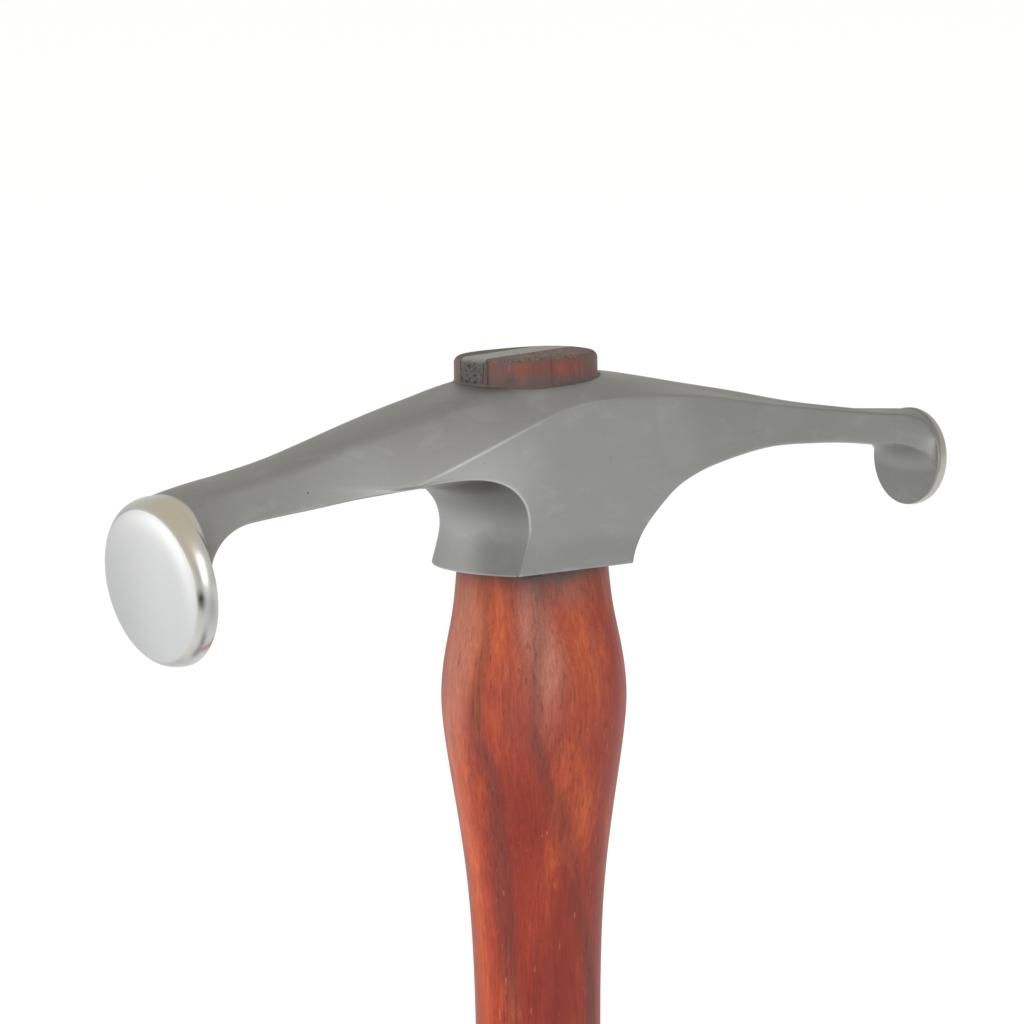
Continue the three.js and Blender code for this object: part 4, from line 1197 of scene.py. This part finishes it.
def flank_turns(handle, size, offset):
    """The two turns at which a tenon oval meets a wedge flank, the straight line at a signed distance from the
    wedge's middle line. The distance of the oval's points to that line is taken all round and read between."""
    lean = handle.wedge_turn
    turn = np.linspace(-np.pi, np.pi, OVAL_STEPS)
    x, y = oval(turn, *size, TENON_ROUNDNESS_SHARE)
    distance = (y - handle.wedge_shift) * math.cos(lean) - x * math.sin(lean) - offset
    low = np.argmin(distance[:-1])
    turn = np.concatenate([turn[low:-1], turn[:low + 1] + 2 * np.pi])
    distance = np.concatenate([distance[low:-1], distance[:low + 1]])
    high = np.argmax(distance)
    rising = np.interp(0, distance[:high + 1], turn[:high + 1])
    falling = np.interp(0, distance[high:][::-1], turn[high:][::-1])
    return rising, falling


def tenon_points(handle, size, turn, z):
    """Points of a tenon oval at a height."""
    return oval_points(turn, *size, TENON_ROUNDNESS_SHARE, z, handle.eye_shift)


def chord(start, end):
    """Points between two places, evenly spread on the straight line, without the two ends."""
    share = np.linspace(0, 1, TENON_SIDES // 2)[1:-1, None]
    return start + (end - start) * share


class HAMMER_OT_handle(Operator):
    """Builds the wooden handle and its split tenon"""

    bl_idname = "hammer.handle"
    bl_label = "Wooden handle"

    def execute(self, context):
        handle, top = context.scene.hammer_handle, tenon_top(context.scene)
        points, faces = join_parts([
            self.body(handle, top), self.half(handle, top, 1), self.half(handle, top, -1)])
        return add_piece("handle_wood", "handle", "handle_wood", wood_finish, 42, points, faces,
                         self.figure(points, handle, top))

    @staticmethod
    def body(handle, top):
        """From the butt up to the kerf: ovals whose half sizes follow the outline's smooth curve, the step in to
        the tenon, and the tenon up to the wedge's tip."""
        turn = np.linspace(0, 2 * np.pi, HANDLE_SIDES, endpoint=False)
        share = np.linspace(1, 0, HANDLE_RINGS)
        sizes = natural_spline(HANDLE_OUTLINE_SHARES, share)
        outside = oval_points(turn, sizes[:, :1] * handle.half_width, sizes[:, 1:] * handle.half_depth,
                              HANDLE_ROUNDNESS_SHARE, (-share * handle.length)[:, None])
        height = np.linspace(0, top - handle.wedge_depth, TENON_FOOT_RINGS)[:, None]
        tenon = tenon_points(handle, tenon_size(height, handle, top), turn, height)
        return closed_loft(np.concatenate([cap_rings(outside[0], BUTT_CAP_SHARES), outside, tenon]))

    @staticmethod
    def half(handle, top, side):
        """One half of the tenon beside the wedge: the arc of each oval past the wedge's flank, and the flank."""
        rings = []
        for z, size, half in tenon_levels(handle, top):
            rising, falling = flank_turns(handle, size, side * (half + handle.joint_gap))
            first, last = (rising, falling) if side > 0 else (falling, rising + 2 * np.pi)
            arc = tenon_points(handle, size, np.linspace(first, last, TENON_SIDES), z)
            rings.append(np.concatenate([arc, chord(arc[-1], arc[0])]))
        return closed_loft(np.array(rings), TENON_CAP_SHARES)

    @staticmethod
    def figure(points, handle, top):
        """The wood's figure at each point. A streak is a bell curve across its middle line, a patch one that is
        long in height, on the left partly painted light, the wood is darker under the collar, most of it front
        right, and round the tenon's foot, the end grain covers the tenon's flat top, and the cracks run down the
        tenon's side."""
        front = math.radians(CAMERA_AZIMUTH)
        x, y, height = points.T / MM
        right = x * math.cos(front) + y * math.sin(front)
        forward = x * math.sin(front) - y * math.cos(front)
        angle = np.degrees(np.arctan2(right, forward))
        depth = np.maximum(-height, 0)

        def across(middle):
            return np.radians((angle - middle + 180) % 360 - 180) * np.hypot(right, forward)

        def blots(rows):
            return sum(strength * bell(depth, low, tall) * bell(across(middle), 0, wide)
                       for low, middle, tall, wide, strength in rows)

        streak = 0
        for rows in WOOD_STREAKS:
            middle, width, strength = natural_spline(rows, depth).T
            wobble = waves(depth, 0, [(1 / 5.3, 0.25, rows[0][1]), (1 / 1.9, 0.12, 0)])
            streak = np.maximum(streak, strength * np.exp(-np.abs((across(middle) + wobble) / width) ** 3))
        crack = spots([TENON_NOTCH], right, height) * (forward > 0)
        for side, middle, width, strength in TENON_CRACKS:
            crack = np.maximum(crack, strength * bell(right, middle, width) * (forward * side > 0))
        on_tenon = height > TENON_BARE_HEIGHT
        on_handle = height <= 0
        flat = height > (top - 0.35 * handle.tenon_edge) / MM
        strength, middle, width = COLLAR_DARKENING_FRONT
        below = sum(most * bell(depth, low, tall) for most, low, tall in COLLAR_DARKENING)
        below *= COLLAR_DARKENING_LEAST + strength * bell(angle, middle, width)
        seat = bell(np.maximum(height, SEAT_HEIGHT), SEAT_HEIGHT, waves(angle, SEAT_REACH, SEAT_WAVES))
        low = SEAT_MIDDLE_LEAST + rise(height, *SEAT_FOOT_RISE)
        for dirt in (rise(right, *SEAT_LEFT_RISE), low * rise(right, *SEAT_MIDDLE_RISE),
                     rise(right, *SEAT_RIGHT_RISE)):
            seat = np.maximum(seat, dirt)
        return {
            "streak": streak * on_handle, "patch": np.clip(blots(WOOD_PATCHES_AND_LIGHT), -1, 1) * on_handle,
            "dull_and_sheen": np.clip(blots(WOOD_DULL_AND_SHEEN), 0, 1) * on_handle, "darkening": below * on_handle + seat * on_tenon,
            "end_grain": flat * 1.0, "crack": crack * on_tenon * (1 - 0.6 * flat),
        }


class HAMMER_OT_wedge(Operator):
    """Builds the grey wedge in the tenon's kerf"""

    bl_idname = "hammer.wedge"
    bl_label = "Wedge"

    def execute(self, context):
        body = self.body(context.scene.hammer_handle, tenon_top(context.scene))
        return add_piece("wedge_grey", "tenon_wedge", "wedge_grey", wedge_finish, 42, *body)

    @staticmethod
    def body(handle, top):
        """At each height, the part of the tenon's oval between the wedge's two straight flanks."""
        rings = []
        for z, size, half in tenon_levels(handle, top):
            (low_rise, low_fall), (high_rise, high_fall) = (flank_turns(handle, size, s * half) for s in (-1, 1))
            rising, falling = (tenon_points(handle, size, np.linspace(first, last, WEDGE_END_STEPS), z)
                               for first, last in ((low_rise, high_rise), (high_fall, low_fall)))
            rings.append(np.concatenate(
                [rising, chord(rising[-1], falling[0]), falling, chord(falling[-1], rising[0])]))
        return closed_loft(np.array(rings), TENON_CAP_SHARES)


class HAMMER_OT_resin(Operator):
    """Builds the resin round the tenon and the bead that was squeezed out under the collar"""

    bl_idname = "hammer.resin"
    bl_label = "Bedding resin"

    def execute(self, context):
        parts = join_parts([self.sleeve(context.scene), self.bead(context.scene.hammer_handle)])
        return add_piece("resin_dark", "bedding_resin", "dark_resin", resin_finish, 60, *parts)

    @staticmethod
    def sleeve(scene):
        """A ring whose outside follows the eye's edge on the head and whose inside lies on the tenon, with a top
        that climbs a little way up the wood."""
        handle = scene.hammer_handle
        eye = head_half(scene)[3]
        rim = np.concatenate([eye, mirrored(eye)[::-1]])
        turn = np.linspace(0, 2 * np.pi, RESIN_SIDES, endpoint=False)
        gap = handle.bedding
        ripple = waves(turn, 0.5, SLEEVE_WAVES)

        def ring(growth, z, scale=1.0):
            return oval_points(turn, handle.tenon_half_width * scale + growth,
                               handle.tenon_half_depth * scale + growth, TENON_ROUNDNESS_SHARE, z,
                               handle.eye_shift)

        def around(points):
            return np.arctan2(points[:, 1] / (handle.tenon_half_depth + gap),
                              (points[:, 0] - handle.eye_shift) / (handle.tenon_half_width + gap)) % (2 * np.pi)

        order = np.argsort(around(rim))
        height = np.interp(around(ring(gap, 0)), around(rim)[order], rim[order, 2], period=2 * np.pi)
        return closed_ring(np.array([
            ring(gap + OVERLAP, 0.05 * MM, TENON_FOOT_SHARE),
            ring(gap + OVERLAP, height - 0.06 * MM),
            ring(gap * 0.7, height + 0.02 * MM),
            ring(gap * 0.35, height + (0.05 + 0.1 * ripple) * MM),
            ring(-OVERLAP, height + (0.12 + 0.3 * ripple) * MM),
            ring(-OVERLAP, 0.05 * MM, TENON_FOOT_SHARE),
        ]))

    @staticmethod
    def bead(handle):
        """A thin lip under the collar, against the handle: its width and height follow a sum of waves round the
        handle and swell at the front right."""
        turn = np.linspace(0, 2 * np.pi, RESIN_SIDES, endpoint=False)
        front = math.radians(CAMERA_AZIMUTH) - np.pi / 2
        away = (turn - front - BEAD_SWELL_ANGLE + np.pi) % (2 * np.pi) - np.pi
        swell = 0.28 + 0.72 * bell(away, 0, BEAD_SWELL_WIDTH)
        height = handle.squeeze_out * swell * waves(turn, 0.72, BEAD_WAVES)
        _, width, depth = HANDLE_OUTLINE_SHARES[0]
        rings = []
        for out, out_share, z, z_share in BEAD_SECTION:
            growth = out * MM + out_share * height
            rings.append(oval_points(turn, handle.half_width * width + growth, handle.half_depth * depth + growth,
                                     HANDLE_ROUNDNESS_SHARE, z * MM + z_share * height))
        return closed_ring(np.array(rings))


def add_light(name, kind, place, power, colour=(1, 1, 1), size=None):
    """A soft light at a place, facing the head: a rectangle of the given size, or a wide sun."""
    data = bpy.data.lights.new(name, kind)
    if kind == "AREA":
        data.shape = "RECTANGLE"
        data.size, data.size_y = size
    else:
        data.angle = SUN_SPREAD
    data.energy = power
    data.color = colour
    light = bpy.data.objects.new(name, data)
    light.location = place
    light.rotation_euler = (Vector(LIGHT_TARGET) - Vector(place)).to_track_quat("-Z", "Y").to_euler()
    bpy.context.scene.collection.objects.link(light)
    return light


class HAMMER_OT_stage(Operator):
    """Sets up the floor, the soft lights and the camera"""

    bl_idname = "hammer.stage"
    bl_label = "Stage"

    def execute(self, context):
        scene = context.scene
        mesh = bpy.data.meshes.new("floor")
        corners = [(x * FLOOR_HALF, y * FLOOR_HALF, 0) for x, y in ((-1, -1), (1, -1), (1, 1), (-1, 1))]
        mesh.from_pydata(corners, [], [(0, 1, 2, 3)])
        mesh.materials.append(floor_finish(scene.hammer_finishes))
        floor = bpy.data.objects.new("floor", mesh)
        scene.collection.objects.link(floor)
        world = bpy.data.worlds.new("studio")
        scene.world = world
        world.use_nodes = True
        background = world.node_tree.nodes["Background"]
        background.inputs["Color"].default_value = (*STUDIO_COLOUR, 1)
        background.inputs["Strength"].default_value = STUDIO_STRENGTH
        sun = add_light("sun", "SUN", SUN_PLACE, SUN_STRENGTH, SUN_COLOUR)
        card = add_light("left_card", "AREA", CARD_PLACE, CARD_POWER, size=CARD_SIZE)
        sun.visible_glossy = card.visible_glossy = False
        add_light("window", "AREA", WINDOW_PLACE, WINDOW_POWER, size=WINDOW_SIZE)
        scene.view_settings.view_transform = "Standard"
        scene.view_settings.look = "None"
        self.place_camera(scene)
        return {"FINISHED"}

    @staticmethod
    def place_camera(scene):
        """The camera stands along its own backward axis from the collar's middle, moved sideways and up."""
        a, e, roll = (math.radians(v) for v in (CAMERA_AZIMUTH, CAMERA_ELEVATION, CAMERA_ROLL))
        back = Vector((math.sin(a) * math.cos(e), -math.cos(a) * math.cos(e), math.sin(e)))
        right = Vector((math.cos(a), math.sin(a), 0))
        up = back.cross(right)
        turned_right = right * math.cos(roll) + up * math.sin(roll)
        turned_up = up * math.cos(roll) - right * math.sin(roll)
        data = bpy.data.cameras.new("camera")
        data.sensor_width = CAMERA_SENSOR
        data.lens = CAMERA_LENS
        data.clip_start, data.clip_end = 0.05, 60
        camera = bpy.data.objects.new("camera", data)
        collar = Vector((0, 0, scene.hammer_handle.length))
        place = collar + turned_right * CAMERA_RIGHT + turned_up * CAMERA_UP + back * CAMERA_DISTANCE
        basis = Matrix((turned_right, turned_up, back)).transposed().to_4x4()
        camera.matrix_world = Matrix.Translation(place) @ basis
        scene.collection.objects.link(camera)
        scene.camera = camera


class HAMMER_PT_panel(Panel):
    """Lists the hammer's pieces and sizes"""

    bl_idname = "HAMMER_PT_panel"
    bl_label = "Planishing Hammer"
    bl_space_type = "VIEW_3D"
    bl_region_type = "UI"
    bl_category = "Hammer"

    def draw(self, context):
        for operator in OPERATORS:
            self.layout.operator(operator.bl_idname)
        for group in SETTINGS:
            box = self.layout.box()
            settings = getattr(context.scene, group)
            for key in settings.bl_rna.properties.keys():
                if key not in ("rna_type", "name"):
                    box.prop(settings, key)


OPERATORS = (HAMMER_OT_head, HAMMER_OT_handle, HAMMER_OT_wedge, HAMMER_OT_resin, HAMMER_OT_stage)
SETTINGS = {
    "hammer_head": HeadSizes,
    "hammer_large_face": LargeFaceSizes,
    "hammer_small_face": SmallFaceSizes,
    "hammer_handle": HandleSizes,
    "hammer_finishes": Finishes,
}


def register():
    for group in SETTINGS.values():
        bpy.utils.register_class(group)
    for cls in (*OPERATORS, HAMMER_PT_panel):
        bpy.utils.register_class(cls)
    for name, group in SETTINGS.items():
        setattr(bpy.types.Scene, name, PointerProperty(type=group))


def unregister():
    for name in SETTINGS:
        delattr(bpy.types.Scene, name)
    for cls in (HAMMER_PT_panel, *reversed(OPERATORS)):
        bpy.utils.unregister_class(cls)
    for group in SETTINGS.values():
        bpy.utils.unregister_class(group)


def main():
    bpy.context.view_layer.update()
    register()
    bpy.ops.hammer.head()
    bpy.ops.hammer.handle()
    bpy.ops.hammer.wedge()
    bpy.ops.hammer.resin()
    bpy.ops.hammer.stage()


if __name__ == "__main__":
    main()
